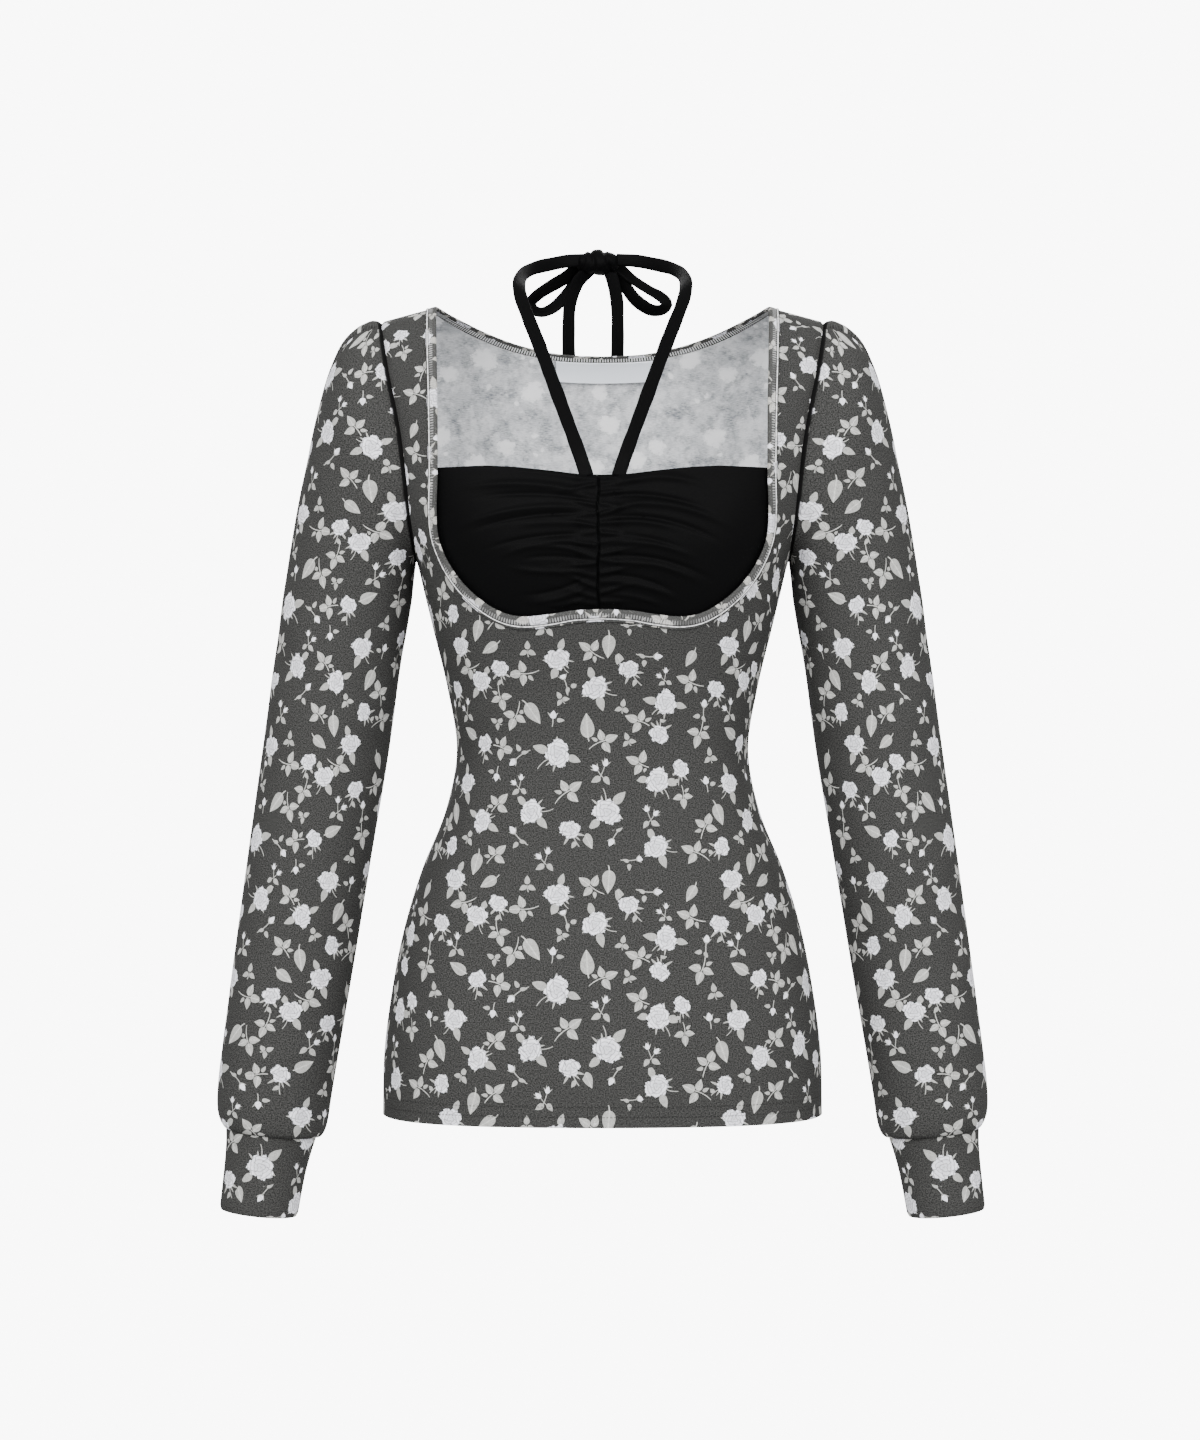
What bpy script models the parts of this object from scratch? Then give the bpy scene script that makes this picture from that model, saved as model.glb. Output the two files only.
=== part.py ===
"""A woman's long-sleeve knit top with a halter-tie bandeau, filled out as it is worn.

The front and back are cut from one torso surface, the sleeves and cuffs are lofted tubes, and the neck
bindings, the bandeau and the label are laid on the torso surface. Lengths in the tables are millimetres, and
the meshes are in metres. The front faces -Y, +Z is up, and the origin is midway between the two neck points,
at shoulder level.
"""

import math
from collections import namedtuple

import bmesh
import bpy
import numpy as np
from mathutils import Matrix, Vector

MM = 0.001

# Cloth and seams
GAP = 0.3
PANEL_EDGE_GAP = 0.45
KNIT_WALL = 1.5
BINDING_WALL = 2.3
BINDING_PROUD = 0.6
CUFF_WALL = 2.2
BANDEAU_WALL = 1.5
LABEL_WALL = 1.0

# Torso: one row for each level, from the hem up to the shoulder seam. half_width, front and back are the
# half sizes of the cross-section, and armhole is how far out the panel reaches above the underarm.
Level = namedtuple("Level", "height half_width front back armhole")
TORSO = (
    Level(-563.5, 153.5, 101.0, 108.0, 153.5),
    Level(-520.0, 152.5, 101.0, 110.0, 152.5),
    Level(-478.0, 147.2, 97.0, 108.0, 147.2),
    Level(-436.0, 139.0, 91.0, 102.0, 139.0),
    Level(-394.0, 126.4, 85.0, 93.0, 126.4),
    Level(-352.0, 109.6, 80.0, 84.0, 109.6),
    Level(-310.0, 102.0, 78.5, 79.0, 102.0),
    Level(-268.0, 108.2, 85.0, 81.0, 108.2),
    Level(-226.0, 118.3, 98.0, 85.0, 118.3),
    Level(-200.0, 124.6, 107.0, 88.0, 124.6),
    Level(-180.0, 129.5, 111.5, 90.0, 129.5),
    Level(-165.0, 135.3, 112.5, 91.0, 131.2),
    Level(-145.0, 142.8, 110.5, 92.0, 133.8),
    Level(-120.0, 150.0, 104.5, 92.0, 136.3),
    Level(-95.0, 156.0, 95.5, 89.5, 139.4),
    Level(-70.0, 161.5, 84.5, 84.5, 143.6),
    Level(-47.0, 165.5, 72.0, 76.5, 147.9),
    Level(-27.0, 168.0, 56.5, 63.0, 151.0),
    Level(-12.0, 169.5, 39.5, 46.0, 153.2),
    Level(-3.0, 170.0, 20.5, 25.0, 154.6),
    Level(0.0, 170.0, 0.0, 0.0, 155.0),
)
UNDERARM = 10
SHOULDER = len(TORSO) - 1
SQUARENESS = 0.035
SHOULDER_SLOPE = 0.27
SLOPE_FROM = 110.0
PANEL_ROWS_BELOW = 14
PANEL_ROWS_ABOVE = 8
STRIP_COLUMNS = 2

# Openings of the neck, from the centre out to the neck point: x, height, and the width of the binding
NeckPoint = namedtuple("NeckPoint", "x height binding")
FRONT_NECK = (
    NeckPoint(0.0, -215.0, 8.4),
    NeckPoint(20.0, -215.9, 8.6),
    NeckPoint(36.0, -218.3, 9.0),
    NeckPoint(54.0, -219.7, 9.0),
    NeckPoint(68.0, -216.9, 8.6),
    NeckPoint(82.0, -208.9, 8.2),
    NeckPoint(95.5, -196.6, 7.8),
    NeckPoint(106.5, -181.0, 7.5),
    NeckPoint(112.6, -165.0, 7.2),
    NeckPoint(113.6, -146.0, 7.0),
    NeckPoint(112.6, -118.0, 7.0),
    NeckPoint(113.0, -72.0, 7.2),
    NeckPoint(114.2, -34.0, 7.6),
    NeckPoint(115.2, -10.0, 7.8),
    NeckPoint(115.6, 0.0, 7.8),
)
BACK_NECK = (
    NeckPoint(0.0, -28.0, 6.0),
    NeckPoint(30.0, -26.6, 6.4),
    NeckPoint(57.0, -21.5, 7.4),
    NeckPoint(79.0, -14.6, 8.2),
    NeckPoint(98.0, -6.9, 8.4),
    NeckPoint(110.0, -1.9, 8.0),
    NeckPoint(115.6, 0.0, 7.8),
)
# corner is the row where the neckline turns up beside the strip, and below and above are the steps on each
# side of it
Neck = namedtuple("Neck", "table facing corner below above")
FRONT = Neck(FRONT_NECK, -1, 7, 9, 9)
BACK = Neck(BACK_NECK, 1, len(BACK_NECK) - 1, 8, 0)

# Sleeve: one row for each ring. The outer and inner points are the ring's two ends in the front view, front
# and back its half depths, middle the y of its centre, and seam how much it keeps of the armhole's shape.
Ring = namedtuple("Ring", "out_x out_z in_x in_z front back middle seam")
SLEEVE = (
    Ring(155.6, -10.5, 130.3, -180.2, 53.0, 49.0, -1.0, 1.00),
    Ring(163.0, -12.6, 130.6, -181.0, 55.0, 51.0, -1.0, 0.90),
    Ring(171.8, -16.8, 130.9, -182.5, 56.5, 52.5, -1.0, 0.70),
    Ring(180.8, -25.2, 131.2, -185.0, 57.0, 53.5, -1.0, 0.45),
    Ring(187.4, -37.1, 131.6, -188.5, 56.5, 53.5, -1.0, 0.25),
    Ring(194.0, -54.5, 132.1, -193.0, 55.0, 53.0, -1.0, 0.12),
    Ring(200.4, -79.0, 132.7, -198.5, 53.0, 51.5, 0.0, 0.05),
    Ring(207.2, -109.0, 133.5, -205.5, 50.5, 50.0, 1.0, 0.00),
    Ring(214.4, -145.5, 135.0, -214.5, 48.0, 48.0, 2.0, 0.00),
    Ring(220.8, -184.0, 137.2, -227.0, 46.5, 46.5, 3.0, 0.00),
    Ring(228.4, -236.0, 142.0, -254.0, 45.5, 45.5, 4.0, 0.00),
    Ring(237.0, -300.0, 150.0, -312.5, 44.5, 44.5, 5.0, 0.00),
    Ring(247.0, -373.0, 162.0, -385.0, 43.0, 43.0, 3.0, 0.00),
    Ring(256.6, -447.0, 173.8, -459.0, 41.5, 41.5, -2.0, 0.00),
    Ring(264.4, -510.0, 184.2, -521.5, 40.5, 40.5, -7.0, 0.00),
    Ring(268.2, -543.0, 189.4, -554.0, 40.0, 40.0, -9.5, 0.00),
    Ring(268.2, -560.0, 191.6, -569.5, 39.0, 39.0, -10.5, 0.00),
    Ring(265.4, -569.6, 194.4, -577.8, 36.0, 36.0, -11.0, 0.00),
    Ring(262.4, -572.6, 199.2, -579.6, 32.0, 32.0, -11.0, 0.00),
)
CUFF = (
    Ring(262.3, -573.0, 199.6, -580.2, 31.5, 31.5, -11.0, 0.00),
    Ring(262.2, -583.0, 202.8, -590.0, 30.0, 30.0, -11.5, 0.00),
    Ring(263.4, -600.0, 207.2, -606.5, 28.5, 28.5, -12.5, 0.00),
    Ring(266.4, -628.5, 212.4, -634.5, 27.5, 27.5, -14.0, 0.00),
)
SLEEVE_RINGS = 19
CUFF_RINGS = 4
# degrees round a ring on the front half, 0 at the outer point and 180 at the inner point
AROUND_DEGREES = (0, 5, 11, 16, 30, 48, 66, 84, 102, 122, 142, 162)
SLEEVE_GAP = 0.5

# Pleat at the sleeve head: a soft lip that runs out from the shoulder seam and fades
PLEAT_HEIGHT = 2.4
PLEAT_HALF_WIDTH = 9.0
PLEAT_EDGE = 3.0
PLEAT_END_RING = 4.5
PLEAT_START_RING = 0.8

# Bandeau: its top edge (x, height), how deep it lies under the torso surface, and its gathers
BANDEAU_TOP = ((0.0, -123.4), (17.0, -122.8), (37.0, -120.2), (60.0, -117.6), (80.0, -116.5), (120.0, -117.6))
BANDEAU_DEPTH = 2.25 + GAP
# share of the binding's width at which the bandeau ends under it, and the x of its centre seam
BANDEAU_TUCK = 0.6
BANDEAU_SEAM = -3.0
BANDEAU_COLUMNS = 10
BANDEAU_ROWS = 14
GATHER_FOLDS = 5
GATHER_HEIGHT = 0.8
GATHER_REACH = 42.0

# Halter ties: a plain tube stands for the flat self-fabric tie. x is for the right side.
TIE_RADIUS = 2.0
STRAP_ROUTE = (
    (11.6, -102.8, -122.4),
    (16.4, -95.2, -107.6),
    (25.8, -76.5, -81.0),
    (35.0, -57.0, -55.0),
    (43.2, -39.5, -32.0),
    (50.8, -24.5, -12.0),
    (56.2, -12.5, 3.0),
    (58.4, -1.0, 14.0),
    (57.6, 13.0, 22.0),
    (54.0, 27.0, 28.0),
    (46.6, 41.0, 33.0),
    (35.4, 52.0, 37.0),
    (24.0, 58.0, 39.8),
    (10.0, 60.5, 41.0),
)
KNOT_CENTRE = (-1.0, 64.5, 40.0)
KNOT_SIZE = (13.0, 7.0, 7.2)
KNOT_CLEAR = 1.1
LOOP_LEFT = (
    (-8.0, 67.5, 42.0),
    (-18.0, 70.0, 38.8),
    (-28.5, 72.5, 32.9),
    (-41.4, 75.0, 24.8),
    (-51.0, 76.5, 19.0),
    (-56.6, 77.0, 12.8),
    (-55.6, 76.8, 6.0),
    (-47.9, 76.0, 1.8),
    (-38.5, 75.0, 5.6),
    (-30.6, 74.6, 13.0),
    (-22.7, 73.8, 22.6),
    (-15.4, 71.4, 32.0),
    (-7.0, 67.0, 39.0),
)
LOOP_RIGHT = (
    (5.0, 67.5, 42.4),
    (17.0, 70.0, 39.4),
    (34.2, 73.5, 27.6),
    (45.5, 75.5, 18.8),
    (50.4, 76.5, 11.3),
    (44.6, 76.0, 4.4),
    (34.6, 75.0, 4.6),
    (27.0, 74.6, 11.0),
    (19.4, 73.6, 20.6),
    (12.4, 71.2, 31.4),
    (4.0, 67.0, 38.0),
)
TAIL_LEFT = (
    (-4.0, 62.5, 38.0),
    (-11.4, 63.6, 32.0),
    (-18.5, 66.5, 24.0),
    (-23.4, 69.2, 10.0),
    (-24.4, 72.0, -10.0),
    (-24.3, 75.0, -28.0),
    (-24.4, 80.5, -45.0),
    (-24.7, 87.6, -65.0),
    (-25.0, 93.0, -90.0),
    (-25.4, 96.0, -120.0),
    (-25.6, 96.6, -152.0),
)
TAIL_RIGHT = (
    (2.0, 63.0, 38.0),
    (5.4, 64.4, 32.0),
    (8.4, 66.6, 23.0),
    (10.6, 69.2, 10.0),
    (11.0, 72.0, -10.0),
    (10.8, 75.2, -28.0),
    (10.9, 80.9, -45.0),
    (11.2, 88.0, -65.0),
    (11.6, 93.4, -90.0),
    (12.0, 96.2, -118.0),
    (12.3, 96.8, -144.0),
)
TIE_STEP = 8.0

# Label at the back neck, blank
LABEL_WIDTH = 70.0
LABEL_HEIGHT = 12.5
LABEL_X = 1.6
LABEL_DROP = 1.0

# Colours, linear RGB
PRINT_COLOUR = (0.16, 0.16, 0.155)
BINDING_COLOUR = (0.22, 0.22, 0.215)
BLACK_COLOUR = (0.008, 0.008, 0.009)
LABEL_COLOUR = (0.66, 0.69, 0.78)
KNIT_ROUGHNESS = 0.85
JERSEY_ROUGHNESS = 0.7


def smooth_rows(rows, place):
    """Read a table at fractional row numbers, on a Catmull-Rom curve through its rows."""
    rows = np.asarray(rows, float)
    place = np.clip(np.asarray(place, float), 0, len(rows) - 1)
    first = np.minimum(place.astype(int), len(rows) - 2)
    part = (place - first)[..., None]
    before = rows[np.maximum(first - 1, 0)]
    start = rows[first]
    end = rows[first + 1]
    after = rows[np.minimum(first + 2, len(rows) - 1)]
    slope_in = (end - before) / 2
    slope_out = (after - start) / 2
    return (
        start * (1 + 2 * part) * (1 - part) ** 2
        + slope_in * part * (1 - part) ** 2
        + end * part**2 * (3 - 2 * part)
        - slope_out * part**2 * (1 - part)
    )


def smoothstep(value):
    value = np.clip(value, 0, 1)
    return value * value * (3 - 2 * value)


def across(angle):
    """Share of the half width at an angle from the centre, on a slightly squared ellipse."""
    return (np.sin(angle) + SQUARENESS * np.sin(3 * angle)) / (1 - SQUARENESS)


def deep(angle):
    """Share of the half depth at an angle from the centre, on the same ellipse."""
    return (np.cos(angle) - SQUARENESS * np.cos(3 * angle)) / (1 - SQUARENESS)


ANGLE_SAMPLES = np.linspace(0, math.pi / 2, 400)
LEVEL_SAMPLES = np.linspace(0, SHOULDER, 2000)
HEIGHT_SAMPLES = smooth_rows(TORSO, LEVEL_SAMPLES)[:, 0]


def angle_at(share):
    """Angle at which the cross-section has reached a share of its half width."""
    return np.interp(share, across(ANGLE_SAMPLES), ANGLE_SAMPLES)


def level_at(height):
    return np.interp(height, HEIGHT_SAMPLES, LEVEL_SAMPLES)


def torso(angle, level, facing):
    """Point of the torso surface. facing is -1 on the front and 1 on the back."""
    angle, level = np.broadcast_arrays(angle, level)
    height, half_width, front, back, _ = np.moveaxis(smooth_rows(TORSO, level), -1, 0)
    x = half_width * across(angle)
    y = facing * np.where(facing < 0, front, back) * deep(angle)
    slope = SHOULDER_SLOPE * smoothstep(1 + height / SLOPE_FROM)
    z = height - slope * np.maximum(np.abs(x) - FRONT_NECK[-1].x, 0)
    return np.stack([x, y, z], axis=-1)


def torso_normal(angle, level, facing):
    """Unit normal of the torso surface, pointing out. On the shoulder seam it has no y, so both sides meet."""
    step = 1e-3
    at_seam = level >= SHOULDER
    level = np.clip(level, step, SHOULDER - step)
    along = torso(angle + step, level, facing) - torso(angle - step, level, facing)
    up = torso(angle, level + step, facing) - torso(angle, level - step, facing)
    normal = -facing * np.cross(along, up)
    normal[..., 1] = np.where(at_seam, 0, normal[..., 1])
    return normal / np.linalg.norm(normal, axis=-1, keepdims=True)


def nearest_on_torso(target, angle, level, facing):
    """Angle and level of the torso point nearest to each target, by repeated small steps."""
    step = 1e-3
    for _ in range(6):
        miss = target - torso(angle, level, facing)
        along = (torso(angle + step, level, facing) - torso(angle - step, level, facing)) / (2 * step)
        low = np.maximum(level - step, 0)
        high = np.minimum(level + step, SHOULDER)
        rise = (torso(angle, high, facing) - torso(angle, low, facing)) / (high - low)[..., None]
        aa = (along * along).sum(-1)
        ar = (along * rise).sum(-1)
        rr = (rise * rise).sum(-1)
        am = (along * miss).sum(-1)
        rm = (rise * miss).sum(-1)
        size = aa * rr - ar * ar + 1e-9
        angle = angle + (am * rr - rm * ar) / size
        level = np.clip(level + (rm * aa - am * ar) / size, 0, SHOULDER)
    return angle, level


def resample(points, steps, *followers):
    """Divide a line into equal steps, and read the followers at the same places."""
    run = np.linalg.norm(np.diff(points, axis=0), axis=1)
    length = np.concatenate([[0], np.cumsum(run)])
    want = np.linspace(0, length[-1], steps + 1)
    return [np.interp(want, length, follower) for follower in followers]


def neck_edge(neck):
    """Opening edge from the centre to the neck point: its angle, level and binding width."""
    stretches = []
    for first, last, steps in ((0, neck.corner, neck.below), (neck.corner, len(neck.table) - 1, neck.above)):
        if steps == 0:
            continue
        fine = smooth_rows(neck.table, np.linspace(first, last, 200))
        level = level_at(np.minimum(fine[:, 1], 0))
        angle = angle_at(fine[:, 0] / smooth_rows(TORSO, level)[:, 1])
        points = torso(angle, level, neck.facing)
        stretches.append(np.stack(resample(points, steps, angle, level, fine[:, 2])))
    if len(stretches) > 1:
        stretches[0] = stretches[0][:, :-1]
    angle, level, width = np.concatenate(stretches, axis=1)
    level[-1] = SHOULDER
    return angle, level, width


def beside_edge(neck, share, extra):
    """Line beside the opening edge, share of the binding's width plus extra away from it."""
    angle, level, width = neck_edge(neck)
    points = torso(angle, level, neck.facing)
    along = np.gradient(points, axis=0)
    along[0] = (1, 0, 0)
    along /= np.linalg.norm(along, axis=1, keepdims=True)
    away = np.cross(torso_normal(angle, level, neck.facing), along) * neck.facing
    away[0, 0] = 0
    away[-1, 1] = 0
    away /= np.linalg.norm(away, axis=1, keepdims=True)
    target = points + away * (share * width + extra)[:, None]
    angle, level = nearest_on_torso(target, angle, level, neck.facing)
    angle[0] = 0
    level[-1] = SHOULDER
    return np.stack([angle, level], axis=-1)


def armhole_angle(level):
    """Angle of the panel's side edge, which is the side seam up to the underarm and then the armhole."""
    row = smooth_rows(TORSO, level)
    return np.where(level <= UNDERARM, math.pi / 2, angle_at(np.clip(row[..., 4] / row[..., 1], 0, 1)))


def side_edge(first, last, steps, facing):
    """Side edge of a panel between two levels, in equal steps."""
    level = np.linspace(first, last, 400)
    angle = armhole_angle(level)
    return np.stack(resample(torso(angle, level, facing), steps, angle, level), axis=-1)


def patch(bottom, top, left, right):
    """Fill in the angles and levels between four edges that meet at their ends."""
    s = np.linspace(0, 1, len(bottom))[None, :, None]
    t = np.linspace(0, 1, len(left))[:, None, None]
    return (
        (1 - t) * bottom[None] + t * top[None]
        + (1 - s) * left[:, None] + s * right[:, None]
        - (1 - s) * (1 - t) * bottom[0] - s * (1 - t) * bottom[-1]
        - (1 - s) * t * top[0] - s * t * top[-1]
    )


def panel_blocks(neck):
    """Half of the front or back in angles and levels: the body, and the strip up to the shoulder."""
    seam = beside_edge(neck, 1.0, PANEL_EDGE_GAP)
    low, high = seam[: neck.below + 1], seam[neck.below :]
    has_strip = neck.above > 0
    side = side_edge(0, UNDERARM, PANEL_ROWS_BELOW, neck.facing)
    arm = side_edge(UNDERARM, SHOULDER, neck.above or PANEL_ROWS_ABOVE, neck.facing)
    if not has_strip:
        side = np.concatenate([side, arm[1:]])
    across_strip = np.linspace(low[-1], side[-1], STRIP_COLUMNS + 1)
    top = np.concatenate([low[:-1], across_strip])
    hem = np.stack([np.linspace(0, math.pi / 2, len(top)), np.zeros(len(top))], axis=-1)
    level = np.linspace(0, low[0, 1], 200)
    rows = resample(torso(0.0, level, neck.facing), len(side) - 1, level)[0]
    centre = np.stack([np.zeros(len(rows)), rows], axis=-1)
    body = patch(hem, top, centre, side)
    if not has_strip:
        return body, None
    shoulder = np.linspace(high[-1], arm[-1], STRIP_COLUMNS + 1)
    return body, patch(across_strip, shoulder, high, arm)[1:]


def both_halves(half):
    """Join a half that starts on the centre line to its mirror image, left to right."""
    flip = np.ones(half.shape[-1])
    flip[0] = -1
    return np.concatenate([half[:, :0:-1] * flip, half], axis=1)


def material(name, colour, roughness):
    made = bpy.data.materials.new(name)
    made.use_nodes = True
    shader = made.node_tree.nodes["Principled BSDF"]
    shader.inputs["Base Color"].default_value = (*colour, 1)
    shader.inputs["Roughness"].default_value = roughness
    shader.inputs["Metallic"].default_value = 0
    made.diffuse_color = (*colour, 1)
    return made


def add_object(name, data, finish):
    made = bpy.data.objects.new(name, data)
    data.materials.append(finish)
    garment.objects.link(made)
    return made


def surface_normals(grid, closed):
    """Unit normals of a grid of points, from its neighbours along both directions."""
    if closed:
        around = np.roll(grid, -1, axis=1) - np.roll(grid, 1, axis=1)
    else:
        around = np.gradient(grid, axis=1)
    along = np.gradient(grid, axis=0)
    normal = np.cross(around, along)
    return normal / np.linalg.norm(normal, axis=-1, keepdims=True)


def quads_of(index, closed=False):
    """Four corners of each cell in a grid of point numbers."""
    if closed:
        index = np.concatenate([index, index[:, :1]], axis=1)
    corners = (index[:-1, :-1], index[:-1, 1:], index[1:, 1:], index[1:, :-1])
    return np.stack(corners, axis=-1).reshape(-1, 4)


def wall(name, outer, inner, quads, finish, flip=False):
    """Cloth as one closed wall between two sheets of points, rimmed along the sheet's open edges."""
    under = len(outer)
    starts = quads.ravel()
    ends = np.roll(quads, -1, axis=1).ravel()
    used = set(zip(starts.tolist(), ends.tolist()))
    rim = [(b, a, a + under, b + under) for a, b in used if (b, a) not in used]
    faces = np.concatenate([quads, quads[:, ::-1] + under, sorted(rim)])
    if flip:
        faces = faces[:, ::-1]
    points = np.concatenate([outer, inner]) * MM
    mesh = bpy.data.meshes.new(name)
    mesh.from_pydata(points.tolist(), [], faces.tolist())
    mesh.shade_smooth()
    mesh.set_sharp_from_angle(angle=math.radians(50))
    add_object(name, mesh, finish)


def cloth(name, outer, inner, finish, closed=False, flip=False):
    """Cloth between two grids of points. A closed grid joins its last column to its first."""
    index = np.arange(outer.shape[0] * outer.shape[1]).reshape(outer.shape[:2])
    quads = quads_of(index, closed)
    wall(name, outer.reshape(-1, 3), inner.reshape(-1, 3), quads, finish, flip)


def body_panel(name, neck, finish):
    """Front or back: both halves of its body, and the strips that run up beside a deep neckline."""
    body, strip = panel_blocks(neck)
    body = both_halves(body)
    index = np.arange(body.shape[0] * body.shape[1]).reshape(body.shape[:2])
    places = [body.reshape(-1, 2)]
    quads = [quads_of(index)]
    if strip is not None:
        width = strip.shape[1]
        for foot, block in (
            (index[-1, -width:], strip),
            (index[-1, :width], strip[:, ::-1] * (-1, 1)),
        ):
            first = sum(len(place) for place in places)
            rows = first + np.arange(block.shape[0] * width).reshape(-1, width)
            places.append(block.reshape(-1, 2))
            quads.append(quads_of(np.concatenate([foot[None], rows])))
    angle, level = np.concatenate(places).T
    outer = torso(angle, level, neck.facing)
    outer[:, 1] += neck.facing * GAP / 2
    inner = outer - torso_normal(angle, level, neck.facing) * KNIT_WALL
    wall(name, outer, inner, np.concatenate(quads), finish, flip=neck.facing > 0)


def neck_binding(name, neck, finish):
    """Folded strip between the opening edge and the panel, a little proud of the torso surface."""
    outer = []
    inner = []
    for share in (0.0, 0.5, 1.0):
        angle, level = beside_edge(neck, share, 0.0).T
        point = torso(angle, level, neck.facing)
        point[-1, 1] = neck.facing * GAP / 2
        normal = torso_normal(angle, level, neck.facing)
        outer.append(point + normal * BINDING_PROUD)
        inner.append(point - normal * (BINDING_WALL - BINDING_PROUD))
    cloth(name, both_halves(np.stack(outer)), both_halves(np.stack(inner)), finish, flip=neck.facing < 0)


def armhole_ring(degrees):
    """Points of the armhole for the sleeve's first ring: 0 at the shoulder, 180 at the underarm."""
    level = np.linspace(SHOULDER, UNDERARM, 400)
    angle = armhole_angle(level)
    points = []
    for facing, share in ((-1, degrees / 180), (1, (360 - degrees) / 180)):
        line = torso(angle, level, facing)
        run = np.concatenate([[0], np.cumsum(np.linalg.norm(np.diff(line, axis=0), axis=1))])
        want = np.clip(share, 0, 1) * run[-1]
        points.append(np.stack([np.interp(want, run, line[:, i]) for i in range(3)], axis=-1))
    return np.where((degrees <= 180)[:, None], points[0], points[1])


def ring_points(row, degrees, armhole):
    """One ring of the sleeve or cuff, between its outer and inner points."""
    turn = np.radians(degrees)
    outer = np.array((row.out_x, row.middle, row.out_z))
    inner = np.array((row.in_x, row.middle, row.in_z))
    centre = (outer + inner) / 2
    depth = np.where(degrees <= 180, row.front, row.back)
    ring = centre + np.cos(turn)[:, None] * (outer - inner) / 2
    ring[:, 1] -= np.sin(turn) * depth

    seam_outer = armhole[degrees.argmin()]
    seam_inner = armhole[np.abs(degrees - 180).argmin()]
    span = seam_outer - seam_inner
    along = ((armhole - seam_inner) @ span) / (span @ span)
    rest = armhole - seam_inner - along[:, None] * span
    like_seam = inner + along[:, None] * (outer - inner) + rest
    return ring * (1 - row.seam) + like_seam * row.seam


def loft(table, rings, degrees, armhole):
    rows = smooth_rows(table, np.linspace(0, len(table) - 1, rings))
    return np.stack([ring_points(Ring(*row), degrees, armhole) for row in rows])


def pleat(grid, degrees):
    """Raise a soft lip at the sleeve head, highest at the shoulder seam."""
    place = np.linspace(0, len(SLEEVE) - 1, len(grid))
    centre = grid.mean(axis=1, keepdims=True)
    out = grid - centre
    radius = np.linalg.norm(out, axis=-1)
    turn = np.radians(np.minimum(degrees, 360 - degrees))[None, :]
    offset = np.abs(turn) * radius
    lip = smoothstep((PLEAT_HALF_WIDTH + PLEAT_EDGE - offset) / PLEAT_EDGE)
    fade = smoothstep((PLEAT_END_RING - place) / PLEAT_END_RING) * smoothstep(place / PLEAT_START_RING)
    return grid + out / radius[..., None] * (PLEAT_HEIGHT * lip * fade[:, None])[..., None]


def sleeve_and_cuff(side, finish):
    """One sleeve with its cuff. side is 1 for the right of the front view and -1 for the left."""
    name = "right" if side > 0 else "left"
    half = np.array(AROUND_DEGREES, float)
    degrees = np.concatenate([half, [180.0], 360 - half[:0:-1]])
    armhole = armhole_ring(degrees) + (SLEEVE_GAP, 0, 0)
    sleeve = pleat(loft(SLEEVE, SLEEVE_RINGS, degrees, armhole), degrees)
    sleeve[0] = armhole
    cuff = loft(CUFF, CUFF_RINGS, degrees, armhole)
    mirror = (side, 1, 1)
    for piece, outer, thickness in (("sleeve", sleeve, KNIT_WALL), ("cuff", cuff, CUFF_WALL)):
        inner = outer - surface_normals(outer, True) * thickness
        cloth(f"{piece}_{name}", outer * mirror, inner * mirror, finish, closed=True, flip=side < 0)


def bandeau_half(side, finish):
    """Half of the bandeau, from the gathered centre seam out to the neck seam, under the torso surface."""
    angle, level = beside_edge(FRONT._replace(below=100, above=100), BANDEAU_TUCK, 0.0).T
    edge = torso(angle, level, -1)
    edge = edge[edge[:, 2] < BANDEAU_TOP[-1][1]]
    edge = edge[: edge[:, 0].argmax() + 1]
    name = "right" if side > 0 else "left"
    x = np.linspace(BANDEAU_SEAM + side * GAP / 2, side * edge[-1, 0], BANDEAU_COLUMNS + 1)
    top_points = np.array(BANDEAU_TOP)
    top = np.interp(np.abs(x), top_points[:, 0], top_points[:, 1])
    bottom = np.interp(np.abs(x), edge[:, 0], edge[:, 2])
    down = np.linspace(0, 1, BANDEAU_ROWS + 1)[:, None]
    height = top * (1 - down) + bottom * down
    level = level_at(height)
    half_width = smooth_rows(TORSO, level)[..., 1]
    angle = angle_at(np.abs(x) / half_width) * np.sign(x)
    gather = np.exp(-(((x - BANDEAU_SEAM) / GATHER_REACH) ** 2))
    wave = np.cos(down * math.tau * GATHER_FOLDS) * GATHER_HEIGHT * gather * np.sin(down * math.pi)
    depth = BANDEAU_DEPTH + GATHER_HEIGHT * gather * np.sin(down * math.pi) - wave
    normal = torso_normal(angle, level, -1)
    outer = torso(angle, level, -1) - normal * depth[..., None]
    cloth(f"bandeau_{name}", outer, outer - normal * BANDEAU_WALL, finish, flip=side > 0)


def tie(name, route, finish):
    """Tube along a smooth curve through the route's points, outside the knot."""
    fine = smooth_rows(route, np.linspace(0, len(route) - 1, 1000))
    from_knot = (fine - KNOT_CENTRE) / (np.array(KNOT_SIZE) + KNOT_CLEAR)
    fine = fine[np.linalg.norm(from_knot, axis=1) > 1]
    length = np.linalg.norm(np.diff(fine, axis=0), axis=1).sum()
    steps = int(length / TIE_STEP)
    points = np.stack(resample(fine, steps, *fine.T), axis=-1)
    curve = bpy.data.curves.new(name, "CURVE")
    curve.dimensions = "3D"
    curve.bevel_depth = TIE_RADIUS * MM
    curve.bevel_resolution = 2
    curve.use_fill_caps = True
    spline = curve.splines.new("POLY")
    spline.points.add(steps)
    flat = np.concatenate([points * MM, np.ones((steps + 1, 1))], axis=1)
    spline.points.foreach_set("co", flat.ravel())
    add_object(name, curve, finish)


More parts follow.
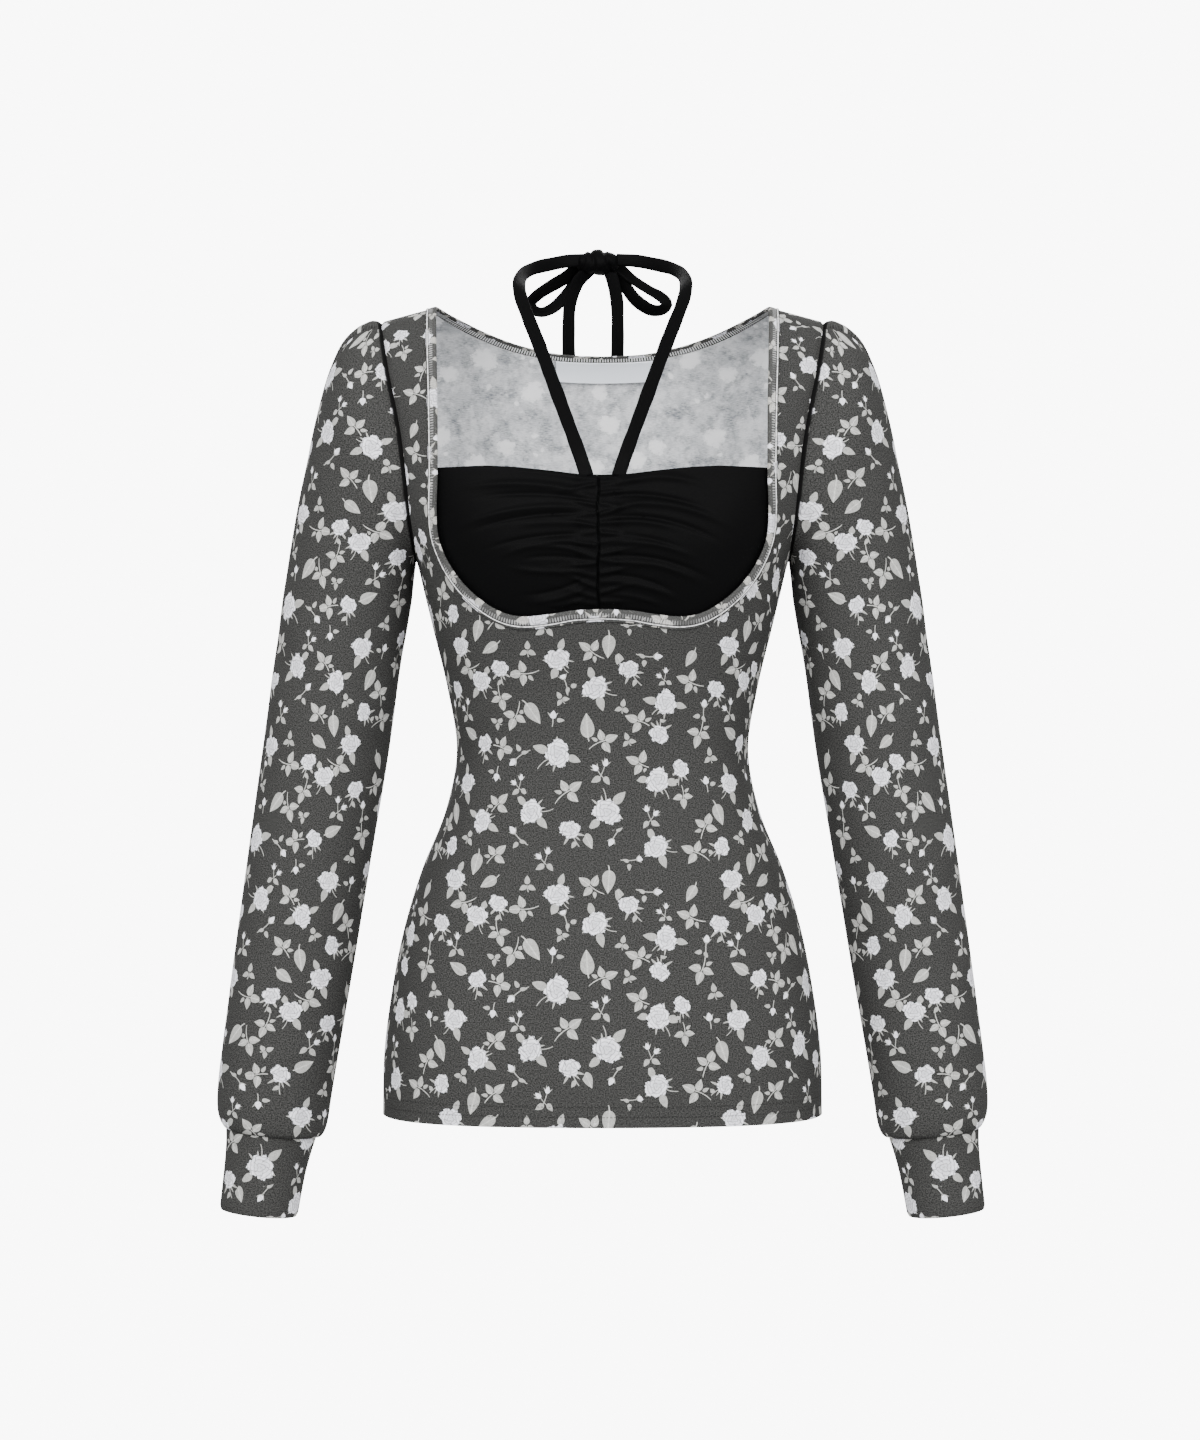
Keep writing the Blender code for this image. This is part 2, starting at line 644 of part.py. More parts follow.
def knot(finish):
    """Knot of the bow, an ellipsoid."""
    ball = bmesh.new()
    bmesh.ops.create_uvsphere(ball, u_segments=14, v_segments=9, radius=1)
    scale = Matrix.Diagonal(Vector(KNOT_SIZE) * MM).to_4x4()
    bmesh.ops.transform(ball, matrix=Matrix.Translation(Vector(KNOT_CENTRE) * MM) @ scale, verts=ball.verts)
    mesh = bpy.data.meshes.new("tie_knot")
    ball.to_mesh(mesh)
    ball.free()
    mesh.shade_smooth()
    add_object("tie_knot", mesh, finish)


def label(finish):
    """Blank woven label sewn inside the back, laid on the last row of the panel's inner points."""
    angle, level = np.moveaxis(both_halves(panel_blocks(BACK)[0]), -1, 0)
    inside = torso(angle, level, 1) + (0, GAP / 2, 0) - torso_normal(angle, level, 1) * KNIT_WALL
    inward = surface_normals(inside, False)
    upper, lower = inside[-1], inside[-2]
    ends = (LABEL_X - LABEL_WIDTH / 2, LABEL_X + LABEL_WIDTH / 2)
    between = (upper[:, 0] > ends[0]) & (upper[:, 0] < ends[1])
    column = np.interp((ends[0], *upper[between, 0], ends[1]), upper[:, 0], np.arange(len(upper)))

    def at_columns(line):
        places = np.arange(len(line))
        return np.stack([np.interp(column, places, line[:, i]) for i in range(3)], axis=-1)

    top, bottom, turned = at_columns(upper), at_columns(lower), at_columns(inward[-1])
    row_height = np.linalg.norm(bottom - top, axis=1, keepdims=True)
    seat = np.stack([top + (bottom - top) * down / row_height for down in (LABEL_DROP, LABEL_DROP + LABEL_HEIGHT)])
    cloth("neck_label", seat + turned * GAP, seat + turned * (GAP + LABEL_WALL), finish)


for old in list(bpy.data.objects):
    bpy.data.objects.remove(old)
garment = bpy.data.collections.new("long_sleeve_top")
bpy.context.scene.collection.children.link(garment)

print_knit = material("print_knit", PRINT_COLOUR, KNIT_ROUGHNESS)
print_sleeve = material("print_sleeve", PRINT_COLOUR, KNIT_ROUGHNESS)
binding_knit = material("binding_knit", BINDING_COLOUR, KNIT_ROUGHNESS)
black_jersey = material("black_jersey", BLACK_COLOUR, JERSEY_ROUGHNESS)
woven_label = material("woven_label", LABEL_COLOUR, JERSEY_ROUGHNESS)

body_panel("front_body", FRONT, print_knit)
body_panel("back_body", BACK, print_knit)
neck_binding("neck_binding_front", FRONT, binding_knit)
neck_binding("neck_binding_back", BACK, binding_knit)
for side in (-1, 1):
    sleeve_and_cuff(side, print_sleeve)
    bandeau_half(side, black_jersey)
mirrored_route = tuple((-x, y, z) for x, y, z in STRAP_ROUTE)
tie("tie_strap_left", mirrored_route, black_jersey)
tie("tie_strap_right", STRAP_ROUTE, black_jersey)
tie("tie_loop_left", LOOP_LEFT, black_jersey)
tie("tie_loop_right", LOOP_RIGHT, black_jersey)
tie("tie_tail_left", TAIL_LEFT, black_jersey)
tie("tie_tail_right", TAIL_RIGHT, black_jersey)
knot(black_jersey)
label(woven_label)
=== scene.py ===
import math

import bpy
import numpy as np
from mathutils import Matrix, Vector


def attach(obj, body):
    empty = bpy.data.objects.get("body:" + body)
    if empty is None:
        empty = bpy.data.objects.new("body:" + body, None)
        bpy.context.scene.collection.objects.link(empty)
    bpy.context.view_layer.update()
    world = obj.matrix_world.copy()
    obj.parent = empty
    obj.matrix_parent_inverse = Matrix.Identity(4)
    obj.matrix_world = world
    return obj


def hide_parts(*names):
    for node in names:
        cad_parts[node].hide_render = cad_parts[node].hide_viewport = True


# Lengths in the tables are millimetres, and the meshes are in metres. The front faces -Y and +Z is up.
mm = 0.001
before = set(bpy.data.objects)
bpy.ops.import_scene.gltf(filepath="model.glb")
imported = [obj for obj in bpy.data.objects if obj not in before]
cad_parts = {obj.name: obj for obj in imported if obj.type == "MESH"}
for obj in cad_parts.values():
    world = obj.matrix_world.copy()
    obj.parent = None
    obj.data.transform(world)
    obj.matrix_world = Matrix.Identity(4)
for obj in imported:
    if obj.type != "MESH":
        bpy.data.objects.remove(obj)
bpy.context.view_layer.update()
print("frame loaded")

cameraPlace = {"x": -1.75, "y": -2500.0, "z": -289.1, "heightOfView": 22.8}


def makeCamera(place):
    # level camera looking along +Y, with its lens from half the long side over the tangent of half the view
    lens = bpy.data.cameras.new("camera")
    lens.sensor_width = 36.0
    lens.lens = 18.0 / math.tan(math.radians(place["heightOfView"] / 2))
    lens.clip_start = 0.05
    lens.clip_end = 50.0
    made = bpy.data.objects.new("camera", lens)
    made.location = (place["x"] * mm, place["y"] * mm, place["z"] * mm)
    made.rotation_euler = (math.pi / 2, 0, 0)
    bpy.context.scene.collection.objects.link(made)
    bpy.context.scene.camera = made


makeCamera(cameraPlace)


def smoothRows(rows, place):
    # Catmull-Rom curve through the table's rows, read at fractional row numbers
    rows = np.asarray(rows, float)
    place = np.clip(np.asarray(place, float), 0, len(rows) - 1)
    first = np.minimum(place.astype(int), len(rows) - 2)
    part = (place - first)[..., None]
    before = rows[np.maximum(first - 1, 0)]
    start = rows[first]
    end = rows[first + 1]
    after = rows[np.minimum(first + 2, len(rows) - 1)]
    slopeIn = (end - before) / 2
    slopeOut = (after - start) / 2
    return (
        start * (1 + 2 * part) * (1 - part) ** 2
        + slopeIn * part * (1 - part) ** 2
        + end * part**2 * (3 - 2 * part)
        - slopeOut * part**2 * (1 - part)
    )


def smoothStep(value, low=0.0, high=1.0):
    # 3t^2 - 2t^3 of the share t between low and high
    share = np.clip((value - low) / (high - low), 0, 1)
    return share * share * (3 - 2 * share)


def unit(vectors):
    return vectors / np.maximum(np.linalg.norm(vectors, axis=-1, keepdims=True), 1e-9)


def runLength(points):
    # distance along a line of points, from 0 at its first point
    return np.concatenate([[0], np.cumsum(np.linalg.norm(np.diff(points, axis=0), axis=1))])


def resample(points, steps, *followers):
    # equal steps along a line, with the followers read at the same places
    length = runLength(points)
    want = np.linspace(0, length[-1], steps + 1)
    return [np.interp(want, length, follower) for follower in followers]


def creases(u, z, table):
    # sum of soft ridges and troughs: each is height * exp(-(distance / width)^2), fading towards both its ends
    total = np.zeros_like(u)
    for startU, startZ, endU, endZ, bow, width, height in table:
        alongU, alongZ = endU - startU, endZ - startZ
        length = math.hypot(alongU, alongZ)
        alongU, alongZ = alongU / length, alongZ / length
        along = ((u - startU) * alongU + (z - startZ) * alongZ) / length
        away = (z - startZ) * alongU - (u - startU) * alongZ - bow * 4 * along * (1 - along)
        fade = smoothStep(along, -0.15, 0.3) * smoothStep(1 - along, -0.15, 0.3)
        total += height * np.exp(-((away / width) ** 2)) * fade
    return total


# The torso surface goes by an angle from the centre and a level, which counts these rows up from the hem. Columns:
# height, half width, front depth, back depth, reach of the panel at the armhole
torsoRows = (
    (-563.5, 153.5, 101.0, 108.0, 153.5),
    (-520.0, 152.5, 101.0, 110.0, 152.5),
    (-478.0, 147.2, 97.0, 108.0, 147.2),
    (-436.0, 139.0, 91.0, 102.0, 139.0),
    (-394.0, 126.4, 85.0, 93.0, 126.4),
    (-352.0, 109.6, 80.0, 84.0, 109.6),
    (-310.0, 102.0, 78.5, 79.0, 102.0),
    (-268.0, 108.2, 85.0, 81.0, 108.2),
    (-226.0, 118.3, 98.0, 85.0, 118.3),
    (-200.0, 124.6, 107.0, 88.0, 124.6),
    (-180.0, 129.5, 111.5, 90.0, 129.5),
    (-165.0, 135.3, 112.5, 91.0, 131.2),
    (-145.0, 142.8, 110.5, 92.0, 133.8),
    (-120.0, 150.0, 104.5, 92.0, 136.3),
    (-95.0, 156.0, 95.5, 89.5, 139.4),
    (-70.0, 161.5, 84.5, 84.5, 143.6),
    (-47.0, 165.5, 72.0, 76.5, 147.9),
    (-27.0, 168.0, 56.5, 63.0, 151.0),
    (-12.0, 169.5, 39.5, 46.0, 153.2),
    (-3.0, 170.0, 20.5, 25.0, 154.6),
    (0.0, 170.0, 0.0, 0.0, 155.0),
)
# columns: x, height, width of the binding, from the centre out to the neck point
frontNeckRows = (
    (0.0, -215.0, 8.4),
    (20.0, -215.9, 8.6),
    (36.0, -218.3, 9.0),
    (54.0, -219.7, 9.0),
    (68.0, -216.9, 8.6),
    (82.0, -208.9, 8.2),
    (95.5, -196.6, 7.8),
    (106.5, -181.0, 7.5),
    (112.6, -165.0, 7.2),
    (113.6, -146.0, 7.0),
    (112.6, -118.0, 7.0),
    (113.0, -72.0, 7.2),
    (114.2, -34.0, 7.6),
    (115.2, -10.0, 7.8),
    (115.6, 0.0, 7.8),
)
backNeckRows = (
    (0.0, -28.0, 6.0),
    (30.0, -26.6, 6.4),
    (57.0, -21.5, 7.4),
    (79.0, -14.6, 8.2),
    (98.0, -6.9, 8.4),
    (110.0, -1.9, 8.0),
    (115.6, 0.0, 7.8),
)
torsoShape = {"underarm": 10, "shoulder": 20, "squareness": 0.035, "slope": 0.27, "slopeFrom": 110.0, "neckX": 115.6}
# corner is the row where the neckline turns up beside the strip, and the others are steps of the grids
frontNeck = {"rows": frontNeckRows, "facing": -1, "corner": 7, "below": 40, "above": 48, "strip": 9, "rise": 92}
backNeck = {"rows": backNeckRows, "facing": 1, "corner": 6, "below": 34, "above": 0, "strip": 11, "rise": 86, "arm": 44}
wallOf = {"knit": 1.5, "cuff": 2.2, "bandeau": 1.5, "label": 0.8}
# gap between the front and back at the side seams, negative where they overlap, and how far their edges lie under
# the bindings
seamGap = -0.3
underBinding = 0.6


def across(angle):
    # share of the half width, (sin a + k sin 3a) / (1 - k)
    k = torsoShape["squareness"]
    return (np.sin(angle) + k * np.sin(3 * angle)) / (1 - k)


def deep(angle):
    # share of the half depth, (cos a - k cos 3a) / (1 - k)
    k = torsoShape["squareness"]
    return (np.cos(angle) - k * np.cos(3 * angle)) / (1 - k)


angleSamples = np.linspace(0, math.pi / 2, 400)
levelSamples = np.linspace(0, torsoShape["shoulder"], 2000)
heightSamples = smoothRows(torsoRows, levelSamples)[:, 0]


def angleAt(share):
    return np.interp(share, across(angleSamples), angleSamples)


def levelAt(height):
    return np.interp(height, heightSamples, levelSamples)


def torso(angle, level, facing):
    # x = half width * across, y = facing * depth * deep, and the height sinks past the neck by slope * distance
    angle, level = np.broadcast_arrays(angle, level)
    height, halfWidth, front, back, _ = np.moveaxis(smoothRows(torsoRows, level), -1, 0)
    x = halfWidth * across(angle)
    y = facing * np.where(facing < 0, front, back) * deep(angle)
    slope = torsoShape["slope"] * smoothStep(1 + height / torsoShape["slopeFrom"])
    z = height - slope * np.maximum(np.abs(x) - torsoShape["neckX"], 0)
    return np.stack([x, y, z], axis=-1)


def riseTo(level, facing):
    # length up the body from the hem, along a line a little beside its middle
    profile = torso(np.full_like(levelSamples, 0.6), levelSamples, facing)
    return np.interp(level, levelSamples, runLength(profile))


def torsoNormal(angle, level, facing):
    # cross product of the surface's two slopes, without its y on the shoulder seam so that both sides meet
    step = 1e-3
    atSeam = level >= torsoShape["shoulder"]
    level = np.clip(level, step, torsoShape["shoulder"] - step)
    along = torso(angle + step, level, facing) - torso(angle - step, level, facing)
    up = torso(angle, level + step, facing) - torso(angle, level - step, facing)
    normal = -facing * np.cross(along, up)
    normal[..., 1] = np.where(atSeam, 0, normal[..., 1])
    return unit(normal)


def nearestOnTorso(target, angle, level, facing):
    # angle and level of the torso point nearest to each target, by six Gauss-Newton steps
    step = 1e-3
    top = torsoShape["shoulder"]
    for _ in range(6):
        miss = target - torso(angle, level, facing)
        along = (torso(angle + step, level, facing) - torso(angle - step, level, facing)) / (2 * step)
        low = np.maximum(level - step, 0)
        high = np.minimum(level + step, top)
        rise = (torso(angle, high, facing) - torso(angle, low, facing)) / (high - low)[..., None]
        aa = (along * along).sum(-1)
        ar = (along * rise).sum(-1)
        rr = (rise * rise).sum(-1)
        am = (along * miss).sum(-1)
        rm = (rise * miss).sum(-1)
        size = aa * rr - ar * ar + 1e-9
        angle = angle + (am * rr - rm * ar) / size
        level = np.clip(level + (rm * aa - am * ar) / size, 0, top)
    return angle, level


def neckEdge(neck):
    # opening edge from the centre to the neck point: angle, level and width of the binding
    stretches = []
    last = len(neck["rows"]) - 1
    for first, end, steps in ((0, neck["corner"], neck["below"]), (neck["corner"], last, neck["above"])):
        if steps == 0:
            continue
        fine = smoothRows(neck["rows"], np.linspace(first, end, 300))
        level = levelAt(np.minimum(fine[:, 1], 0))
        angle = angleAt(fine[:, 0] / smoothRows(torsoRows, level)[:, 1])
        points = torso(angle, level, neck["facing"])
        stretches.append(np.stack(resample(points, steps, angle, level, fine[:, 2])))
    if len(stretches) > 1:
        stretches[0] = stretches[0][:, :-1]
    angle, level, width = np.concatenate(stretches, axis=1)
    level[-1] = torsoShape["shoulder"]
    return angle, level, width


def besideEdge(neck, share, extra):
    # line beside the opening edge, share of the binding's width plus extra away from it
    angle, level, width = neckEdge(neck)
    points = torso(angle, level, neck["facing"])
    along = np.gradient(points, axis=0)
    along[0] = (1, 0, 0)
    away = np.cross(torsoNormal(angle, level, neck["facing"]), unit(along)) * neck["facing"]
    away[0, 0] = 0
    away[-1, 1] = 0
    target = points + unit(away) * (share * width + extra)[:, None]
    angle, level = nearestOnTorso(target, angle, level, neck["facing"])
    angle[0] = 0
    level[-1] = torsoShape["shoulder"]
    return np.stack([angle, level], axis=-1)


def armholeAngle(level):
    # the side seam up to the underarm, and the armhole above it
    row = smoothRows(torsoRows, level)
    share = np.clip(row[..., 4] / row[..., 1], 0, 1)
    return np.where(level <= torsoShape["underarm"], math.pi / 2, angleAt(share))


def sideEdge(first, last, steps, facing):
    level = np.linspace(first, last, 400)
    angle = armholeAngle(level)
    return np.stack(resample(torso(angle, level, facing), steps, angle, level), axis=-1)


def patch(bottom, top, left, right):
    # Coons patch: the blend of its four edges less the blend of its four corners
    s = np.linspace(0, 1, len(bottom))[None, :, None]
    t = np.linspace(0, 1, len(left))[:, None, None]
    return (
        (1 - t) * bottom[None] + t * top[None]
        + (1 - s) * left[:, None] + s * right[:, None]
        - (1 - s) * (1 - t) * bottom[0] - s * (1 - t) * bottom[-1]
        - (1 - s) * t * top[0] - s * t * top[-1]
    )


def panelBlocks(neck):
    # half of the front or back in angles and levels: its body, and the strip up to the shoulder
    seam = besideEdge(neck, 1.0, -underBinding)
    low, high = seam[: neck["below"] + 1], seam[neck["below"] :]
    underarm, shoulder = torsoShape["underarm"], torsoShape["shoulder"]
    side = sideEdge(0, underarm, neck["rise"], neck["facing"])
    arm = sideEdge(underarm, shoulder, neck["above"] or neck["arm"], neck["facing"])
    hasStrip = neck["above"] > 0
    if not hasStrip:
        side = np.concatenate([side, arm[1:]])
    acrossStrip = np.linspace(low[-1], side[-1], neck["strip"] + 1)
    top = np.concatenate([low[:-1], acrossStrip])
    hem = np.stack([np.linspace(0, math.pi / 2, len(top)), np.zeros(len(top))], axis=-1)
    level = np.linspace(0, low[0, 1], 400)
    rows = resample(torso(0.0, level, neck["facing"]), len(side) - 1, level)[0]
    centre = np.stack([np.zeros(len(rows)), rows], axis=-1)
    body = patch(hem, top, centre, side)
    if not hasStrip:
        return body, None
    shoulderLine = np.linspace(high[-1], arm[-1], neck["strip"] + 1)
    return body, patch(acrossStrip, shoulderLine, high, arm)[1:]


def bothHalves(half):
    # a half that starts on the centre line, joined to its mirror image
    flip = np.ones(half.shape[-1])
    flip[0] = -1
    return np.concatenate([half[:, :0:-1] * flip, half], axis=1)


def quadsOf(index, closed=False):
    # four corners of each cell in a grid of point numbers
    if closed:
        index = np.concatenate([index, index[:, :1]], axis=1)
    corners = (index[:-1, :-1], index[:-1, 1:], index[1:, 1:], index[1:, :-1])
    return np.stack(corners, axis=-1).reshape(-1, 4)


def meshObject(name, points, faces, uv, finishes, faceFinish=None, sharp=None):
    # uv has a pair for each corner of each face. Edges over the sharp angle stay sharp
    mesh = bpy.data.meshes.new(name)
    mesh.from_pydata((points * mm).tolist(), [], faces)
    for finish in finishes:
        mesh.materials.append(finish)
    if faceFinish is not None:
        mesh.polygons.foreach_set("material_index", faceFinish.astype(np.int32))
    mesh.uv_layers.new(name="cloth").data.foreach_set("uv", uv.reshape(-1).astype(np.float32))
    mesh.shade_smooth()
    if sharp:
        mesh.set_sharp_from_angle(angle=math.radians(sharp))
    made = bpy.data.objects.new(name, mesh)
    bpy.context.scene.collection.objects.link(made)
    return made


def shell(name, outer, inner, quads, cornerUv, finishes, flip=False):
    # one closed wall between two sheets of points. An edge that no neighbour uses backwards is open and gets a rim
    under = len(outer)
    starts = quads.ravel()
    ends = np.roll(quads, -1, axis=1).ravel()
    openEdge = np.flatnonzero(~np.isin(ends * under + starts, starts * under + ends))
    openEdge = openEdge[np.lexsort((starts[openEdge], ends[openEdge]))]
    a, b = starts[openEdge], ends[openEdge]
    near = cornerUv.reshape(-1, 2)[openEdge]
    far = np.roll(cornerUv, -1, axis=1).reshape(-1, 2)[openEdge]
    rim = np.stack([b, a, a + under, b + under], axis=-1)
    faces = np.concatenate([quads, quads[:, ::-1] + under, rim])
    uv = np.concatenate([cornerUv, cornerUv[:, ::-1], np.stack([far, near, near, far], axis=1)])
    kinds = np.repeat([0, 1, 0], [len(quads), len(quads), len(rim)])
    if flip:
        faces, uv = faces[:, ::-1], uv[:, ::-1]
    return meshObject(name, np.concatenate([outer, inner]), faces.tolist(), uv, finishes, kinds, sharp=50)


def endFans(index, middle):
    # triangles that close both ends of a tube of point numbers, round the two points numbered from middle on
    after = np.roll(index, -1, axis=1)
    hub = np.full(index.shape[1], middle)
    return np.concatenate([np.stack([hub, after[0], index[0]], 1), np.stack([hub + 1, index[-1], after[-1]], 1)])


def distanceLayer(made, name, distance):
    # a second uv layer that holds one number for each point
    mesh = made.data
    corner = np.zeros(len(mesh.loops), np.int32)
    mesh.loops.foreach_get("vertex_index", corner)
    pairs = np.stack([distance[corner], np.zeros(len(corner))], axis=-1)
    mesh.uv_layers.new(name=name).data.foreach_set("uv", pairs.ravel().astype(np.float32))


def gridShell(name, outer, inner, uvGrid, finishes, closed=False, flip=False):
    # wall between two grids of points. A closed grid's uv has one more column than its points
    index = np.arange(outer.shape[0] * outer.shape[1]).reshape(outer.shape[:2])
    quads = quadsOf(index, closed)
    uvIndex = np.arange(uvGrid.shape[0] * uvGrid.shape[1]).reshape(uvGrid.shape[:2])
    cornerUv = uvGrid.reshape(-1, 2)[quadsOf(uvIndex)]
    return shell(name, outer.reshape(-1, 3), inner.reshape(-1, 3), quads, cornerUv, finishes, flip)


def sheetArea(outer, quads):
    # area of a sheet of quads in square metres, half the cross product of their diagonals
    a, b, c, d = (outer[quads[:, corner]] for corner in range(4))
    return float(np.linalg.norm(np.cross(c - a, d - b), axis=1).sum() / 2) * mm * mm


def gridNormals(grid):
    # cross product of the differences along both directions of a grid that is closed round its columns
    around = np.roll(grid, -1, axis=1) - np.roll(grid, 1, axis=1)
    return unit(np.cross(around, np.gradient(grid, axis=0)))


class Wire:
    # a socket with the arithmetic of numbers: each operation adds one Math node
    def __init__(self, tree, socket):
        self.tree = tree
        self.socket = socket

    def __add__(self, other):
        return self.tree.math("ADD", self, other)

    def __radd__(self, other):
        return self.tree.math("ADD", other, self)

    def __sub__(self, other):
        return self.tree.math("SUBTRACT", self, other)

    def __rsub__(self, other):
        return self.tree.math("SUBTRACT", other, self)

    def __mul__(self, other):
        return self.tree.math("MULTIPLY", self, other)

    def __rmul__(self, other):
        return self.tree.math("MULTIPLY", other, self)

    def __abs__(self):
        return self.tree.math("ABSOLUTE", self)

    def __gt__(self, other):
        return self.tree.math("GREATER_THAN", self, other)

    def __lt__(self, other):
        return self.tree.math("LESS_THAN", self, other)

    def most(self, other):
        return self.tree.math("MAXIMUM", self, other)

    def least(self, other):
        return self.tree.math("MINIMUM", self, other)

    def fit(self, low, high, outLow=0.0, outHigh=1.0):
        # smooth step from low to high, as outLow to outHigh
        kind = {"interpolation_type": "SMOOTHSTEP"}
        values = {"Value": self, "From Min": low, "From Max": high, "To Min": outLow, "To Max": outHigh}
        return self.tree.make("ShaderNodeMapRange", kind, values)


class Tree:
    # adds nodes to one node tree
    def __init__(self, nodeTree):
        self.nodes = nodeTree.nodes
        self.links = nodeTree.links

    def feed(self, socket, value):
        if isinstance(value, Wire):
            self.links.new(value.socket, socket)
        elif value is not None:
            socket.default_value = value

    def make(self, kind, settings=None, values=None, output=0):
        # settings are set before the sockets, which are given by name or number
        node = self.nodes.new(kind)
        for key, value in (settings or {}).items():
            setattr(node, key, value)
        for key, value in (values or {}).items():
            self.feed(node.inputs[key], value)
        return Wire(self, node.outputs[output])

    def math(self, operation, *values):
        return self.make("ShaderNodeMath", {"operation": operation}, dict(enumerate(values)))

    def vector(self, operation, *values, output=0):
        return self.make("ShaderNodeVectorMath", {"operation": operation}, dict(enumerate(values)), output)

    def dot(self, a, b):
        return self.vector("DOT_PRODUCT", a, b, output=1)

    def join(self, x, y, z=0.0):
        return self.make("ShaderNodeCombineXYZ", None, {0: x, 1: y, 2: z})

    def split(self, value):
        node = self.nodes.new("ShaderNodeSeparateXYZ")
        self.feed(node.inputs[0], value)
        return [Wire(self, node.outputs[i]) for i in range(3)]

    def mix(self, factor, a, b):
        # numbers from a to b
        return self.make("ShaderNodeMix", {"data_type": "FLOAT", "clamp_factor": True}, {0: factor, 2: a, 3: b})

    def mixVector(self, factor, a, b):
        return self.make("ShaderNodeMix", {"data_type": "VECTOR", "clamp_factor": True}, {0: factor, 4: a, 5: b}, 1)

    def mixColour(self, factor, a, b, blend="MIX"):
        a, b = (value if isinstance(value, Wire) else (*value, 1.0) for value in (a, b))
        kind = {"data_type": "RGBA", "blend_type": blend, "clamp_factor": True}
        return self.make("ShaderNodeMix", kind, {0: factor, 6: a, 7: b}, 2)

    def noise(self, place, scale, detail=2.0, rough=0.5):
        values = {"Vector": place, "Scale": scale, "Detail": detail, "Roughness": rough}
        return self.make("ShaderNodeTexNoise", {"noise_dimensions": "3D"}, values)


# The print: each row is one motif in one repeat of the cloth. Columns: kind, across, up, turn in degrees, size,
# and side, which is -1 for a mirrored motif
printRepeat = {"across": 202.0, "up": 168.5}
# farthest point of each kind from its centre, in the order that their numbers follow
printReach = {
    "rose": 14.0, "cup": 11.5, "sprig": 12.0, "buds": 11.0, "leaf": 9.5, "trefoil": 7.5, "stem": 10.0, "bud": 7.5,
}
kindOrder = list(printReach)
